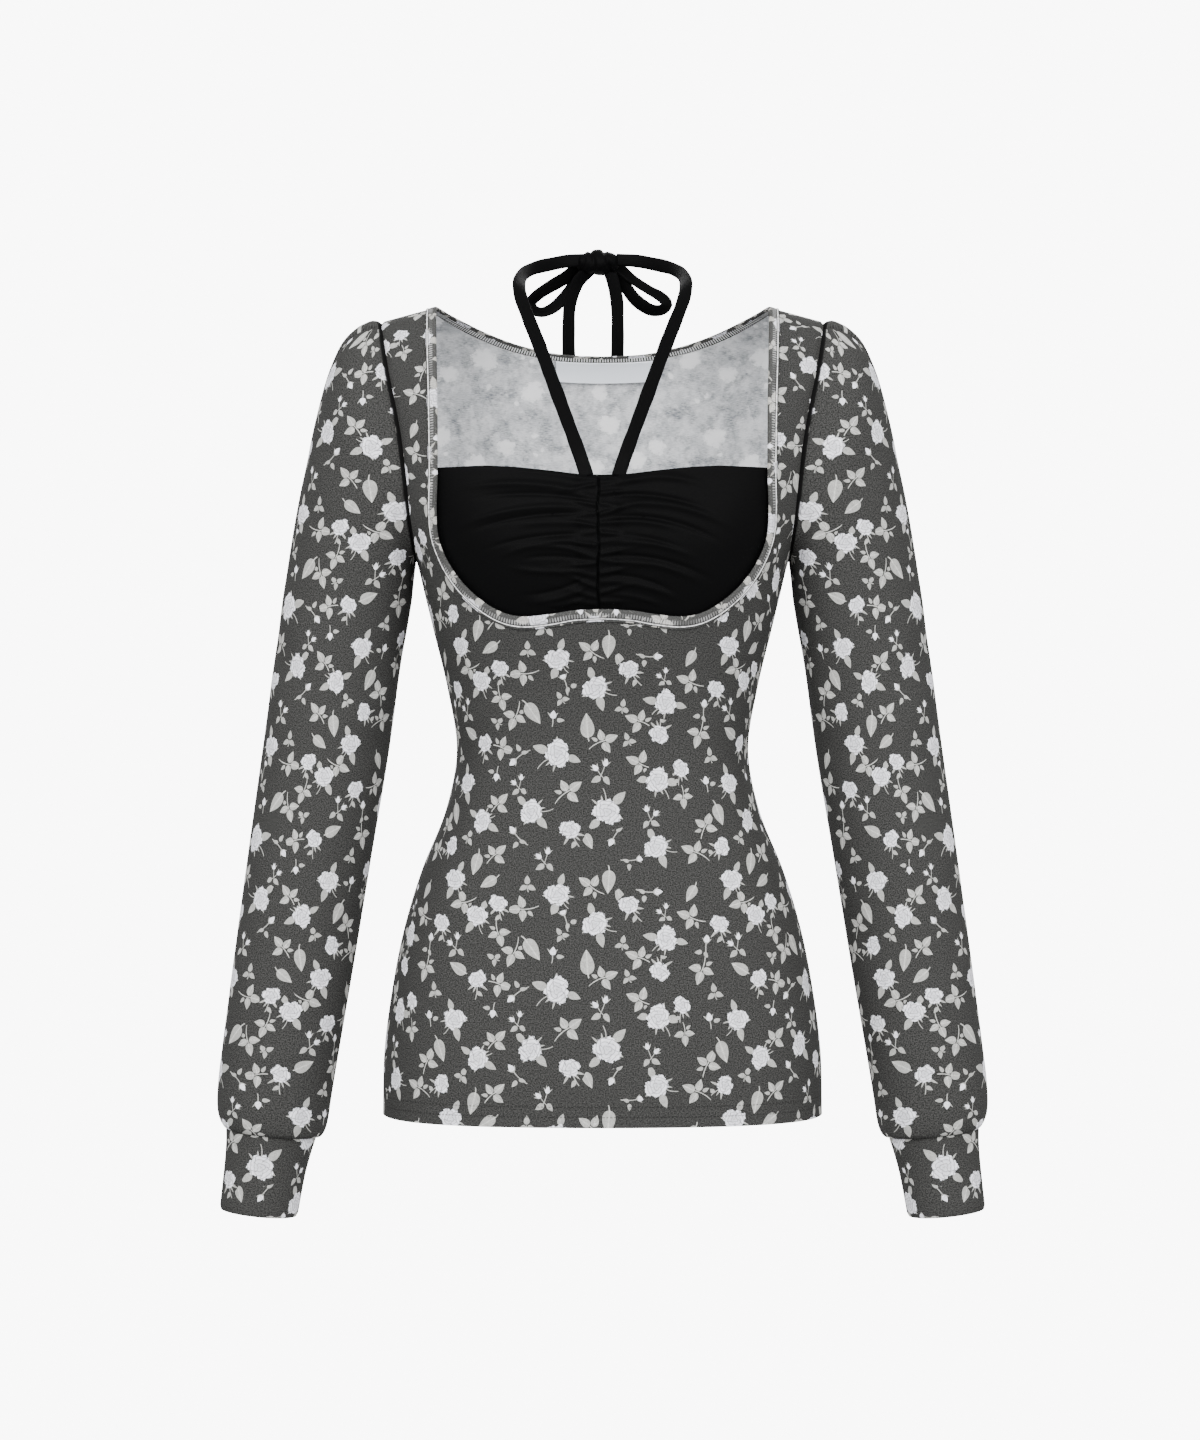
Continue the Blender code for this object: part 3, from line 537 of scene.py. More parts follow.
# radius of the largest motif's circle, which all the others are weighed against
largestCircle = 17.0
printChart = (
    ("rose", 82.0, 150.0, 32, 1.0, 1),
    ("sprig", 57.0, 139.0, 100, 0.95, 1),
    ("trefoil", 60.5, 156.5, 10, 1.0, 1),
    ("rose", 24.0, 134.5, 10, 0.92, 1),
    ("cup", 40.0, 141.5, 8, 0.95, 1),
    ("sprig", 40.0, 121.5, 190, 0.85, -1),
    ("leaf", 33.0, 158.5, 120, 0.9, 1),
    ("rose", 108.5, 129.0, 62, 1.05, 1),
    ("stem", 88.5, 132.5, 75, 0.95, 1),
    ("sprig", 105.5, 155.5, 60, 0.92, 1),
    ("leaf", 118.0, 160.0, 176, 1.1, 1),
    ("trefoil", 84.5, 121.0, 40, 0.85, 1),
    ("cup", 133.0, 141.0, 32, 1.0, 1),
    ("leaf", 125.5, 149.5, 20, 0.72, 1),
    ("stem", 146.5, 151.0, -35, 0.95, 1),
    ("buds", 157.5, 136.5, 12, 0.72, 1),
    ("rose", 158.5, 118.5, -55, 1.0, 1),
    ("cup", 154.0, 97.5, 172, 1.0, 1),
    ("sprig", 139.5, 105.5, 62, 0.92, -1),
    ("trefoil", 127.5, 115.0, 0, 0.9, 1),
    ("sprig", 51.5, 108.0, 162, 0.92, 1),
    ("leaf", 64.0, 111.5, 215, 1.15, 1),
    ("bud", 79.0, 108.5, 15, 1.0, 1),
    ("trefoil", 37.0, 104.0, 70, 0.85, 1),
    ("leaf", 103.0, 101.0, 4, 1.15, 1),
    ("sprig", 114.5, 91.5, -62, 0.92, 1),
    ("trefoil", 131.5, 91.5, 30, 0.85, 1),
    ("rose", 82.0, 82.5, -62, 1.12, 1),
    ("cup", 25.0, 87.5, 0, 0.95, -1),
    ("sprig", 41.0, 86.5, -100, 0.9, 1),
    ("stem", 53.5, 80.5, 185, 0.95, 1),
    ("bud", 36.5, 66.5, 190, 0.95, 1),
    ("sprig", 140.0, 75.0, 72, 0.95, 1),
    ("rose", 152.5, 63.5, 40, 1.02, -1),
    ("cup", 169.0, 70.0, -12, 0.9, 1),
    ("buds", 113.5, 69.5, 0, 0.95, 1),
    ("sprig", 89.5, 56.0, -48, 1.0, 1),
    ("rose", 63.0, 41.0, 88, 1.0, 1),
    ("buds", 54.5, 60.0, 8, 0.78, 1),
    ("stem", 53.0, 22.5, -15, 0.95, -1),
    ("sprig", 38.0, 46.5, -38, 0.9, 1),
    ("rose", 25.5, 34.0, 105, 0.92, 1),
    ("sprig", 171.5, 51.5, 190, 0.75, 1),
    ("rose", 117.0, 41.0, 182, 1.15, 1),
    ("cup", 91.5, 26.5, 24, 1.05, 1),
    ("leaf", 103.5, 20.5, 205, 0.8, 1),
    ("stem", 122.0, 24.5, 205, 0.9, 1),
    ("buds", 147.0, 37.5, 0, 0.85, -1),
    ("rose", 151.5, 15.5, 68, 1.0, 1),
    ("leaf", 22.5, 3.5, 165, 1.05, 1),
    ("sprig", 37.0, 10.0, -42, 0.9, 1),
    ("buds", 73.5, 6.5, 4, 0.9, 1),
    ("stem", 135.0, 5.5, -25, 0.85, 1),
    ("cup", 197.0, 126.4, 10, 1.0, 1),
    ("sprig", 176.0, 133.0, 75, 0.95, 1),
    ("leaf", 176.5, 151.0, 150, 0.85, 1),
    ("sprig", 184.0, 96.0, 168, 0.95, 1),
    ("trefoil", 192.5, 80.0, 20, 1.0, 1),
    ("stem", 186.0, 112.0, -60, 0.95, -1),
    ("leaf", 198.5, 39.5, 200, 1.05, 1),
    ("sprig", 187.5, 31.0, -20, 0.95, 1),
    ("bud", 189.0, 62.0, 30, 1.0, 1),
    ("sprig", 179.5, 12.0, 60, 0.95, -1),
    ("cup", 198.5, 14.5, -60, 0.95, 1),
    ("sprig", 13.0, 143.0, 110, 0.95, 1),
    ("rose", 5.0, 160.0, 20, 0.95, 1),
    ("buds", 8.0, 113.0, 12, 0.9, 1),
    ("leaf", 10.5, 96.5, 60, 0.95, 1),
    ("rose", 8.0, 61.0, -30, 0.95, -1),
    ("trefoil", 14.0, 22.0, -20, 0.95, 1),
)


def leafShape(tree, q, x, y, turn, length, width):
    # half width sqrt(t) * (1 - t) along the leaf less the distance from its midrib, in mm
    c, s = math.cos(math.radians(turn)), math.sin(math.radians(turn))
    along = tree.dot(q, (c / length, s / length, -(x * c + y * s) / length))
    side = tree.dot(q, (-s / length, c / length, (x * s - y * c) / length))
    profile = tree.math("SQRT", along.most(0.0)) * (1.0 - along)
    return (profile * (1.3 * width / length) - abs(side) - 0.012) * length, side


def stemShape(tree, q, x, y, turn, length, bow, thick):
    # distance from a parabola of that length and bow, cut off at its two ends
    c, s = math.cos(math.radians(turn)), math.sin(math.radians(turn))
    along = tree.dot(q, (c / length, s / length, -(x * c + y * s) / length))
    side = tree.dot(q, (-s, c, x * s - y * c))
    off = abs(side - along * along * bow)
    inside = along.least(1.0 - along) * length
    return (thick / 2 - off).least(inside)


def most(shapes):
    result = shapes[0]
    for shape in shapes[1:]:
        result = result.most(shape)
    return result


def roseShape(tree, q, x, y, radius, petals, wobble):
    # scalloped outline, petals parted by curved lines, and a whorl of thin dark arcs in the middle
    px, py, _ = tree.split(tree.vector("SUBTRACT", q, (x, y, 1.0)))
    r = tree.math("SQRT", px * px + py * py)
    turn = tree.math("ARCTAN2", py, px)
    lobes = abs(tree.math("COSINE", turn * (petals / 2) + 0.4))
    ragged = tree.noise(q, 1.25, 1.0) - 0.5
    uneven = tree.math("COSINE", turn * 2.0 + 1.0) * 0.09 + tree.math("COSINE", turn * 3.0 - 0.6) * 0.06
    edge = (lobes * 0.15 + 0.85 + uneven) * radius + wobble * 2.6 + ragged * 2.0
    parting = abs(tree.math("SINE", turn * 2.5 + r * 0.34 + wobble * 1.5)) * r
    whorl = abs(tree.math("SINE", (r + tree.math("SINE", turn * 3.0 + 1.0) * 0.6 + wobble * 1.6) * 1.32))
    outer = tree.mix(r.fit(0.25 * radius, 0.5 * radius), 1.0, parting.fit(0.1, 1.3, 0.30, 1.0))
    shade = outer.least(whorl.fit(0.0, 0.55, 0.36, 1.0)) * r.fit(0.0, radius, 0.80, 1.06)
    return edge - r, shade


def motifPrint(name):
    # node group: cloth place in mm -> how far inside a motif, its shade, and 1 on a flower or 0 on a leaf
    group = bpy.data.node_groups.new(name, "ShaderNodeTree")
    group.interface.new_socket(name="Place", in_out="INPUT", socket_type="NodeSocketVector")
    for output in ("Inside", "Shade", "Flower"):
        group.interface.new_socket(name=output, in_out="OUTPUT", socket_type="NodeSocketFloat")
    tree = Tree(group)
    place = tree.make("NodeGroupInput")

    # the motif whose circle holds the point deepest is the one that shows there
    half = (printRepeat["across"] / 2, printRepeat["up"] / 2, 1000.0)
    best = chosen = aim = None
    for kind, u, v, turn, size, side in printChart:
        reach = math.sqrt(largestCircle**2 - (printReach[kind] * size) ** 2)
        away = tree.vector("WRAP", tree.vector("SUBTRACT", place, (u, v, -reach)), half, tuple(-h for h in half))
        power = tree.dot(away, away)
        c, s = math.cos(math.radians(turn)) * side / size, math.sin(math.radians(turn)) * side / size
        row = (c, s, side * (kindOrder.index(kind) + 1.0))
        if best is None:
            best, chosen, aim = power, away, row
            continue
        nearer = power < best
        chosen = tree.mixVector(nearer, chosen, away)
        aim = tree.mixVector(nearer, aim, row)
        best = best.least(power)
    dx, dy, _ = tree.split(chosen)
    a, b, signed = tree.split(aim)
    kind = abs(signed)
    x = a * dx + b * dy
    y = (a * dy - b * dx) * tree.math("SIGN", signed)
    q = tree.join(x, y, 1.0)
    wobble = tree.noise(place, 0.42, 1.0) - 0.5

    # each kind gives (inside, shade, flower). A leaf's veins are lighter than its face
    shown = {}
    veins = tree.noise(tree.vector("MULTIPLY", place, (1.3, 1.3, 1.0)), 1.0, 1.0).fit(0.35, 0.65, 0.80, 1.12)
    inside, shade = roseShape(tree, q, 0.0, 0.0, 8.2, 7, wobble)
    greens = [
        leafShape(tree, q, -4.4, -5.2, 224, 10.2, 5.8)[0],
        leafShape(tree, q, 5.2, 5.0, 40, 8.6, 5.0)[0],
        leafShape(tree, q, 2.6, -6.2, -80, 4.4, 1.2)[0],
        leafShape(tree, q, 5.4, -4.6, -44, 5.4, 1.3)[0],
        leafShape(tree, q, -6.2, 2.6, 146, 4.2, 1.6)[0],
        stemShape(tree, q, 0.6, -6.6, 262, 9.0, 3.4, 0.6),
    ]
    flower = inside > -0.1
    shown["rose"] = tree.join(inside.most(most(greens)), tree.mix(flower, veins, shade), flower)

    inside, shade = roseShape(tree, q, 0.0, 2.0, 6.6, 6, wobble)
    greens = [
        leafShape(tree, q, -2.8, -2.4, 216, 6.8, 1.8)[0],
        leafShape(tree, q, 2.8, -2.4, -38, 6.4, 1.7)[0],
        leafShape(tree, q, 1.4, -3.6, -66, 5.0, 1.2)[0],
        leafShape(tree, q, 0.2, -7.4, 216, 5.4, 3.2)[0],
        stemShape(tree, q, 0.2, -3.6, 268, 9.4, 1.6, 0.65),
    ]
    flower = inside > -0.1
    shown["cup"] = tree.join(inside.most(most(greens)), tree.mix(flower, veins, shade), flower)

    # three broad leaves and a small one on a curved stem, with lighter midribs
    parts = [(0.6, 1.4, 84, 10.2, 6.6), (-0.6, -0.8, 166, 8.8, 5.8), (1.4, -1.2, 8, 9.4, 6.2)]
    parts.append((-2.0, -4.4, 214, 5.4, 3.0))
    leaves = [leafShape(tree, q, *part) for part in parts]
    stems = [stemShape(tree, q, 0.6, 1.2, 252, 13.5, 4.4, 0.7)]
    rib = abs(leaves[0][1]).least(abs(leaves[2][1])).least(abs(leaves[1][1]))
    shade = veins * rib.fit(0.0, 0.06, 1.5, 1.0)
    shown["sprig"] = tree.join(most([leaf for leaf, _ in leaves] + stems), shade, 0.0)

    # two spiky buds over two leaves
    buds = []
    for x0, y0, aimed in ((-3.4, 1.0, 132), (1.8, 4.2, 72)):
        for spread, length, width in ((0, 5.8, 3.8), (42, 5.6, 1.3), (-38, 5.8, 1.3), (16, 6.8, 1.5)):
            buds.append(leafShape(tree, q, x0, y0, aimed + spread, length, width)[0])
    leaves = [leafShape(tree, q, -1.4, -4.2, 208, 7.8, 4.8)[0], leafShape(tree, q, 1.6, -3.8, -58, 7.2, 4.4)[0]]
    stems = [
        stemShape(tree, q, -3.4, 1.2, -62, 7.6, 1.2, 0.6),
        stemShape(tree, q, 1.9, 4.6, -106, 12.0, -1.6, 0.6),
    ]
    bud = most([buds[0], buds[4]])
    shown["buds"] = tree.join(most(buds + leaves + stems), veins, bud > 0.0)

    leaf, side = leafShape(tree, q, 0.0, -6.6, 90, 15.5, 8.8)
    stem = stemShape(tree, q, 0.0, -6.0, 272, 4.0, 0.8, 0.75)
    shown["leaf"] = tree.join(leaf.most(stem), veins * abs(side).fit(0.0, 0.05, 1.5, 1.0), 0.0)

    parts = [(0.3, 0.6, 80, 6.4, 4.2), (-0.6, -0.6, 200, 5.8, 3.8), (0.8, -0.8, -38, 6.2, 4.0)]
    stem = stemShape(tree, q, 0.0, 0.0, 262, 5.0, 0.8, 0.7)
    shown["trefoil"] = tree.join(most([leafShape(tree, q, *part)[0] for part in parts] + [stem]), veins, 0.0)

    # a long bent stem with a bud at its end
    bud = leafShape(tree, q, 2.8, 2.8, 38, 6.2, 4.4)[0]
    spikes = [leafShape(tree, q, 2.0, 2.2, aimed, 5.6, 1.4)[0] for aimed in (-2, 80)]
    parts = [(-2.8, -2.0, 184, 5.6, 3.0), (-1.6, -3.6, -66, 5.8, 3.6)]
    stem = stemShape(tree, q, 3.2, 3.2, 222, 14.0, -3.6, 0.75)
    leaves = [leafShape(tree, q, *part)[0] for part in parts]
    shown["stem"] = tree.join(most([bud, stem] + spikes + leaves), veins, bud > 0.0)

    bud = leafShape(tree, q, -0.6, -1.4, 70, 6.0, 4.6)[0]
    spikes = [leafShape(tree, q, -0.8, -1.0, aimed, 5.8, 1.4)[0] for aimed in (28, 114)]
    leaf = leafShape(tree, q, 1.8, -3.2, -16, 5.6, 3.2)[0]
    stem = stemShape(tree, q, -0.6, -1.0, 262, 6.0, -1.2, 0.7)
    shown["bud"] = tree.join(most([bud, leaf, stem] + spikes), veins, bud > 0.0)

    result = shown[kindOrder[0]]
    for number, name in enumerate(kindOrder[1:], start=2):
        result = tree.mixVector(kind > number - 0.5, result, shown[name])
    inside, shade, flower = tree.split(result)
    out = group.nodes.new("NodeGroupOutput")
    for socket, value in zip(out.inputs, (inside, shade, flower)):
        tree.feed(socket, value)
    return group


def newFinish(name, colour, rough, shine=0.04):
    # material with its shader node, its tree, and the colour that stands for it in a plain view
    made = bpy.data.materials.new(name)
    made.use_nodes = True
    made.diffuse_color = (*colour, 1.0)
    shader = made.node_tree.nodes["Principled BSDF"]
    shader.inputs["Roughness"].default_value = rough
    shader.inputs["Specular IOR Level"].default_value = shine
    return made, shader, Tree(made.node_tree)


def bumpFrom(tree, shader, height, strength, distance):
    values = {"Height": height, "Strength": strength, "Distance": distance}
    tree.feed(shader.inputs["Normal"], tree.make("ShaderNodeBump", None, values))


knitLook = {
    "ground": (0.0590, 0.0590, 0.0570),
    "groundDeep": (0.0120, 0.0120, 0.0116),
    # width in mm of the dark line painted along the armhole seam as the shade in its fold, then that painted shade's
    # colour
    "seam": 0.6,
    "seamShade": (0.004, 0.004, 0.004),
    "leaf": (0.385, 0.383, 0.366),
    "flower": (0.82, 0.82, 0.87),
    "edge": 0.14,
    "rough": 0.92,
    "scale": 1.035,
    "stitch": 2.6,
    "wale": 0.75,
    "course": 0.6,
}


def placeOf(tree, offset=(0.0, 0.0, 0.0), scale=1.0):
    # the cloth's own uv, in millimetres, with the print's scale and offset
    uv = tree.make("ShaderNodeUVMap", {"uv_map": "cloth"})
    return tree.vector("MULTIPLY_ADD", uv, (scale, scale, 1.0), offset)


def usePrint(tree, group, place):
    node = tree.nodes.new("ShaderNodeGroup")
    node.node_tree = group
    tree.feed(node.inputs[0], place)
    return [Wire(tree, node.outputs[i]) for i in range(3)]


def printedColour(tree, group, place, look):
    # ground, leaves and flowers, with the grain of a brushed yarn over them
    inside, shade, flower = usePrint(tree, group, place)
    fine = tree.noise(place, 1.1, 3.0, 0.75)
    ground = tree.mixColour(fine.fit(0.36, 0.64), look["groundDeep"], look["ground"])
    cloudy = tree.noise(place, 0.32, 2.0, 0.6).fit(0.32, 0.68, 0.86, 1.05)
    tone = tree.mixColour(flower, look["leaf"], look["flower"])
    bright = tree.vector("SCALE", tone, None, None, shade * cloudy * fine.fit(0.3, 0.7, 0.88, 1.06))
    return tree.mixColour(inside.fit(-look["edge"], look["edge"]), ground, bright), fine


def knitRelief(tree, x, y, look):
    # sine of the wales that run up the cloth, and half as much of the courses across it
    wales = tree.math("SINE", x * (2 * math.pi / look["wale"]))
    return wales + tree.math("SINE", y * (2 * math.pi / look["course"])) * 0.5


def printedKnit(name, group, look, offset, hemRows=(), seamShadeLayer=None):
    # hemRows are the heights of the rows of hem stitches, each a line of short dark dashes. A seam layer holds the
    # distance from a seam, and within the seam width of it the cloth is painted dark as the shade in the seam's fold
    made, shader, tree = newFinish(name, look["ground"], look["rough"])
    place = placeOf(tree, offset, look["scale"])
    colour, fine = printedColour(tree, group, place, look)
    x, y, _ = tree.split(placeOf(tree))
    for height in hemRows:
        dashes = tree.math("SINE", x * (2 * math.pi / look["stitch"])).fit(-0.9, 0.2)
        colour = tree.mixColour(abs(y - height).fit(0.7, 0.15) * dashes * 0.6, colour, look["groundDeep"])
    # painted shade: the cloth darkens towards the seam, standing in for the shade in its narrow fold
    if seamShadeLayer:
        away, _, _ = tree.split(tree.make("ShaderNodeUVMap", {"uv_map": seamShadeLayer}))
        colour = tree.mixColour(away.fit(look["seam"] + 0.9, look["seam"]), colour, look["seamShade"])
    tree.feed(shader.inputs["Base Color"], colour)
    bumpFrom(tree, shader, knitRelief(tree, x, y, look) * 0.3 + fine * 1.5, 0.35, 0.0002)
    return made


wrongLook = {"cloth": (0.43, 0.445, 0.465), "pale": (0.97, 0.97, 0.98), "shadow": (0.155, 0.170, 0.190), "rough": 0.95}


def wrongSide(name, group, look):
    # pale heather back of the cloth, on which the print shows through softly
    made, shader, tree = newFinish(name, look["cloth"], look["rough"])
    place = placeOf(tree)
    inside, _, flower = usePrint(tree, group, place)
    streaks = tree.noise(tree.vector("MULTIPLY", place, (0.28, 2.0, 1.0)), 1.0, 3.0, 0.7)
    soft = tree.noise(place, 0.08, 5.0, 0.7) + (streaks - 0.5) * 0.35
    blotch = tree.noise(place, 0.26, 4.0, 0.7) - 0.5
    ghost = (inside + blotch * 15.0).fit(-5.0, 3.0) * (flower * 0.45 + 0.40)
    colour = tree.mixColour(soft.fit(0.33, 0.58), look["shadow"], look["cloth"])
    colour = tree.mixColour(ghost, colour, look["pale"])
    colour = tree.mixColour(streaks.fit(0.35, 0.75, 0.0, 0.5), colour, look["pale"])
    tree.feed(shader.inputs["Base Color"], colour)
    bumpFrom(tree, shader, streaks, 0.3, 0.0003)
    return made


# lengths in mm: spacing of the rib stitches, where they begin and end across the strip, the middle and the half
# width of the pale fold line, and how far the print is moved
bindingLook = {
    "ground": (0.072, 0.072, 0.070),
    "groundDeep": (0.034, 0.034, 0.033),
    "leaf": (0.40, 0.39, 0.365),
    "flower": (0.80, 0.80, 0.86),
    "edge": 0.3,
    "line": (0.80, 0.80, 0.80),
    "dark": (0.012, 0.012, 0.012),
    "pale": (0.70, 0.70, 0.70),
    "rough": 0.9,
    "stitch": 1.9,
    "outside": {"begin": (2.0, 3.4), "end": (6.2, 5.4), "middle": 6.35, "half": 0.42, "move": 118.0},
    "inside": {"begin": (1.6, 2.2), "end": (6.0, 5.4), "middle": 6.7, "half": 0.55, "move": 31.0},
}


def bindingCloth(name, group, look, inwards):
    # folded strip: u runs along it and v across it from the opening. Rib stitches lie across it, and a pale fold
    # line between two dark ones lies along its outer part
    made, shader, tree = newFinish(name, (0.22, 0.22, 0.215), look["rough"])
    strip = look["inside" if inwards else "outside"]
    u, v, _ = tree.split(placeOf(tree))
    colour, fine = printedColour(tree, group, tree.join(u, v + strip["move"], 0.0), look)
    ribs = tree.math("SINE", u * (2 * math.pi / look["stitch"]) + fine * 1.2).fit(-0.6, 0.5)
    patchy = tree.noise(tree.join(u * 0.04, 0.0, 0.0), 1.0, 1.0).fit(0.35, 0.6)
    reach = v.fit(*strip["begin"]) * v.fit(*strip["end"])
    if inwards:
        stitched = tree.mixColour(ribs, look["dark"], look["pale"])
        colour = tree.mixColour(reach * (0.85 + patchy * 0.15), colour, stitched)
    else:
        colour = tree.mixColour(reach * ribs * (0.05 + patchy * 0.35), colour, look["pale"])
    off = abs(v - strip["middle"])
    wide = strip["half"]
    uneven = tree.noise(tree.join(u * 0.35, 0.0, 4.0), 1.0, 2.0).fit(0.3, 0.6, 0.45, 1.0)
    colour = tree.mixColour(off.fit(wide + 0.8, wide + 0.4) * 0.85, colour, look["dark"])
    colour = tree.mixColour(off.fit(wide + 0.1, wide - 0.2) * uneven, colour, look["line"])
    tree.feed(shader.inputs["Base Color"], colour)
    bumpFrom(tree, shader, ribs * reach + fine * 0.6, 0.5, 0.0004)
    return made


jerseyLook = {
    "colour": (0.0010, 0.0010, 0.0011), "worn": (0.0017, 0.0017, 0.0018), "rough": 0.55, "shine": 0.035,
    "wale": 0.7, "course": 0.55,
}


def blackJersey(name, look):
    # smooth knit, a little worn and a little rougher here and there
    made, shader, tree = newFinish(name, look["colour"], look["rough"], look["shine"])
    place = placeOf(tree)
    x, y, _ = tree.split(place)
    fine = tree.noise(place, 1.3, 2.0, 0.6)
    tree.feed(shader.inputs["Base Color"], tree.mixColour(fine.fit(0.3, 0.7), look["colour"], look["worn"]))
    tree.feed(shader.inputs["Roughness"], fine.fit(0.2, 0.8, look["rough"] - 0.06, look["rough"] + 0.1))
    bumpFrom(tree, shader, knitRelief(tree, x, y, look) * 0.3 + fine, 0.3, 0.00015)
    return made


labelLook = {"colour": (0.80, 0.85, 0.95), "low": (0.84, 0.89, 0.98), "high": (0.92, 0.96, 1.0), "rough": 0.5}


def labelSatin(name, look):
    # plain weave, its threads 0.5 and 0.35 mm apart
    made, shader, tree = newFinish(name, look["colour"], look["rough"])
    x, y, _ = tree.split(placeOf(tree))
    weave = tree.math("SINE", x * (2 * math.pi / 0.5)) * tree.math("SINE", y * (2 * math.pi / 0.35))
    tree.feed(shader.inputs["Base Color"], tree.mixColour(weave.fit(-1.0, 1.0), look["low"], look["high"]))
    bumpFrom(tree, shader, weave, 0.3, 0.0001)
    return made


motifs = motifPrint("flower print")
# cloth offsets of the sleeves' print, and heights of the hem stitches
sleeveOffset = (31.0, 77.0, 0.0)
hemStitches = (7.2, 14.0)
# the chart's place (across, up) comes at this height on the middle of the front
printAnchor = {"across": 113.75, "up": 164.0, "height": -235.0}
anchorRise = float(riseTo(levelAt(printAnchor["height"]), -1)) * knitLook["scale"]
bodyOffset = (printAnchor["across"], printAnchor["up"] - anchorRise, 0.0)
finishes = {
    "body": printedKnit("printed knit", motifs, knitLook, bodyOffset, hemStitches),
    # the sleeves' knit carries the painted seam shade along the armhole
    "sleeve": printedKnit("printed knit of the sleeves", motifs, knitLook, sleeveOffset, (), "armhole"),
    "cuff": printedKnit("printed knit of the cuffs", motifs, knitLook, sleeveOffset),
    "wrong": wrongSide("wrong side of the knit", motifs, wrongLook),
    "binding": bindingCloth("binding", motifs, bindingLook, False),
    "bindingInside": bindingCloth("binding inside", motifs, bindingLook, True),
    "jersey": blackJersey("black jersey", jerseyLook),
    "label": labelSatin("woven label", labelLook),
}
print("finishes made", len(motifs.nodes), "nodes in the print")


def settle(made, node):
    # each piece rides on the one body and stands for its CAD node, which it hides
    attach(made, "root")
    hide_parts(node)
    return made


# the ties are flat tubes along their routes
tieSize = {"width": 9.3, "thick": 2.2, "step": 1.6, "around": 20, "square": 0.75}
# columns: x, y, z, and the direction of the tie's width
strapRows = (
    (10.6, -101.5, -125.6, 1.0, 0.15, -0.45),
    (11.8, -100.1, -121.4, 1.0, 0.15, -0.45),
    (16.4, -95.2, -107.6, 1.0, 0.15, -0.45),
    (25.8, -76.5, -81.0, 1.0, 0.15, -0.40),
    (35.0, -57.0, -55.0, 1.0, 0.15, -0.35),
    (43.2, -39.5, -32.0, 1.0, 0.15, -0.33),
    (50.8, -24.5, -12.0, 1.0, 0.10, -0.32),
    (56.2, -12.5, 3.0, 1.0, -0.10, -0.30),
    (58.4, -1.0, 14.0, 0.9, -0.20, 0.10),
    (57.6, 13.0, 22.0, 0.7, 0.0, 0.60),
    (54.0, 27.0, 28.0, 0.5, 0.10, 0.85),
    (46.6, 41.0, 33.0, 0.3, 0.0, 1.0),
    (35.4, 52.0, 37.0, 0.1, 0.0, 1.0),
    (24.0, 58.0, 39.8, 0.0, 0.0, 1.0),
    (10.0, 60.5, 41.0, 0.0, 0.0, 1.0),
)
loopLeftRows = (
    (-5.8, 66.5, 42.4, 0.40, 0.50, -0.80),
    (-16.2, 69.5, 37.6, 0.50, 0.40, -0.80),
    (-26.5, 72.5, 29.7, 0.52, 0.35, -0.80),
    (-37.8, 75.0, 23.3, 0.52, 0.40, -0.78),
    (-46.3, 76.5, 17.9, 0.70, 0.50, -0.60),
    (-51.3, 77.4, 12.8, 0.85, 0.60, -0.10),
    (-50.4, 77.6, 7.8, 0.80, 0.60, 0.45),
    (-44.0, 77.2, 5.1, 0.15, 0.60, 0.85),
    (-35.9, 76.4, 8.1, -0.45, 0.50, 0.75),
    (-29.3, 75.4, 13.9, -0.66, 0.40, 0.62),
    (-22.4, 74.2, 22.1, -0.76, 0.30, 0.55),
    (-14.7, 71.4, 31.3, -0.76, 0.30, 0.55),
    (-5.8, 67.0, 38.4, -0.70, 0.30, 0.60),
)
loopRightRows = (
    (3.6, 66.5, 42.0, 0.55, 0.40, 0.70),
    (13.1, 69.5, 35.4, 0.70, 0.50, 0.50),
    (22.6, 72.0, 27.7, 0.60, 0.70, 0.45),
    (33.1, 74.5, 21.2, 0.50, 0.65, 0.60),
    (42.2, 76.0, 16.1, 0.55, 0.50, 0.70),
    (46.6, 77.0, 11.0, 0.85, 0.50, 0.15),
    (43.0, 77.4, 7.0, 0.55, 0.60, -0.60),
    (35.9, 77.0, 6.6, -0.20, 0.55, -0.85),
    (28.9, 76.0, 10.0, -0.62, 0.40, -0.66),
    (22.2, 74.8, 15.7, -0.74, 0.30, -0.60),
    (16.6, 73.2, 23.4, -0.82, 0.30, -0.48),
    (10.8, 70.6, 31.1, -0.82, 0.30, -0.48),
    (3.6, 67.0, 37.7, -0.74, 0.30, -0.56),
)
tailLeftRows = (
    (-4.0, 62.5, 38.0, 0.8, 0.3, -0.5),
    (-11.4, 63.6, 32.0, 0.8, 0.3, -0.6),
    (-18.5, 66.5, 24.0, 0.9, 0.2, -0.4),
    (-23.4, 69.2, 10.0, 1.0, 0.1, -0.1),
    (-24.4, 72.0, -10.0, 1.0, 0.0, 0.0),
    (-24.3, 75.0, -28.0, 1.0, 0.0, 0.0),
    (-24.4, 80.5, -45.0, 1.0, 0.0, 0.0),
    (-24.7, 87.6, -65.0, 1.0, 0.0, 0.0),
    (-25.0, 93.0, -90.0, 1.0, 0.0, 0.0),
    (-25.4, 96.0, -120.0, 1.0, 0.0, 0.0),
    (-25.6, 96.6, -152.0, 1.0, 0.0, 0.0),
)
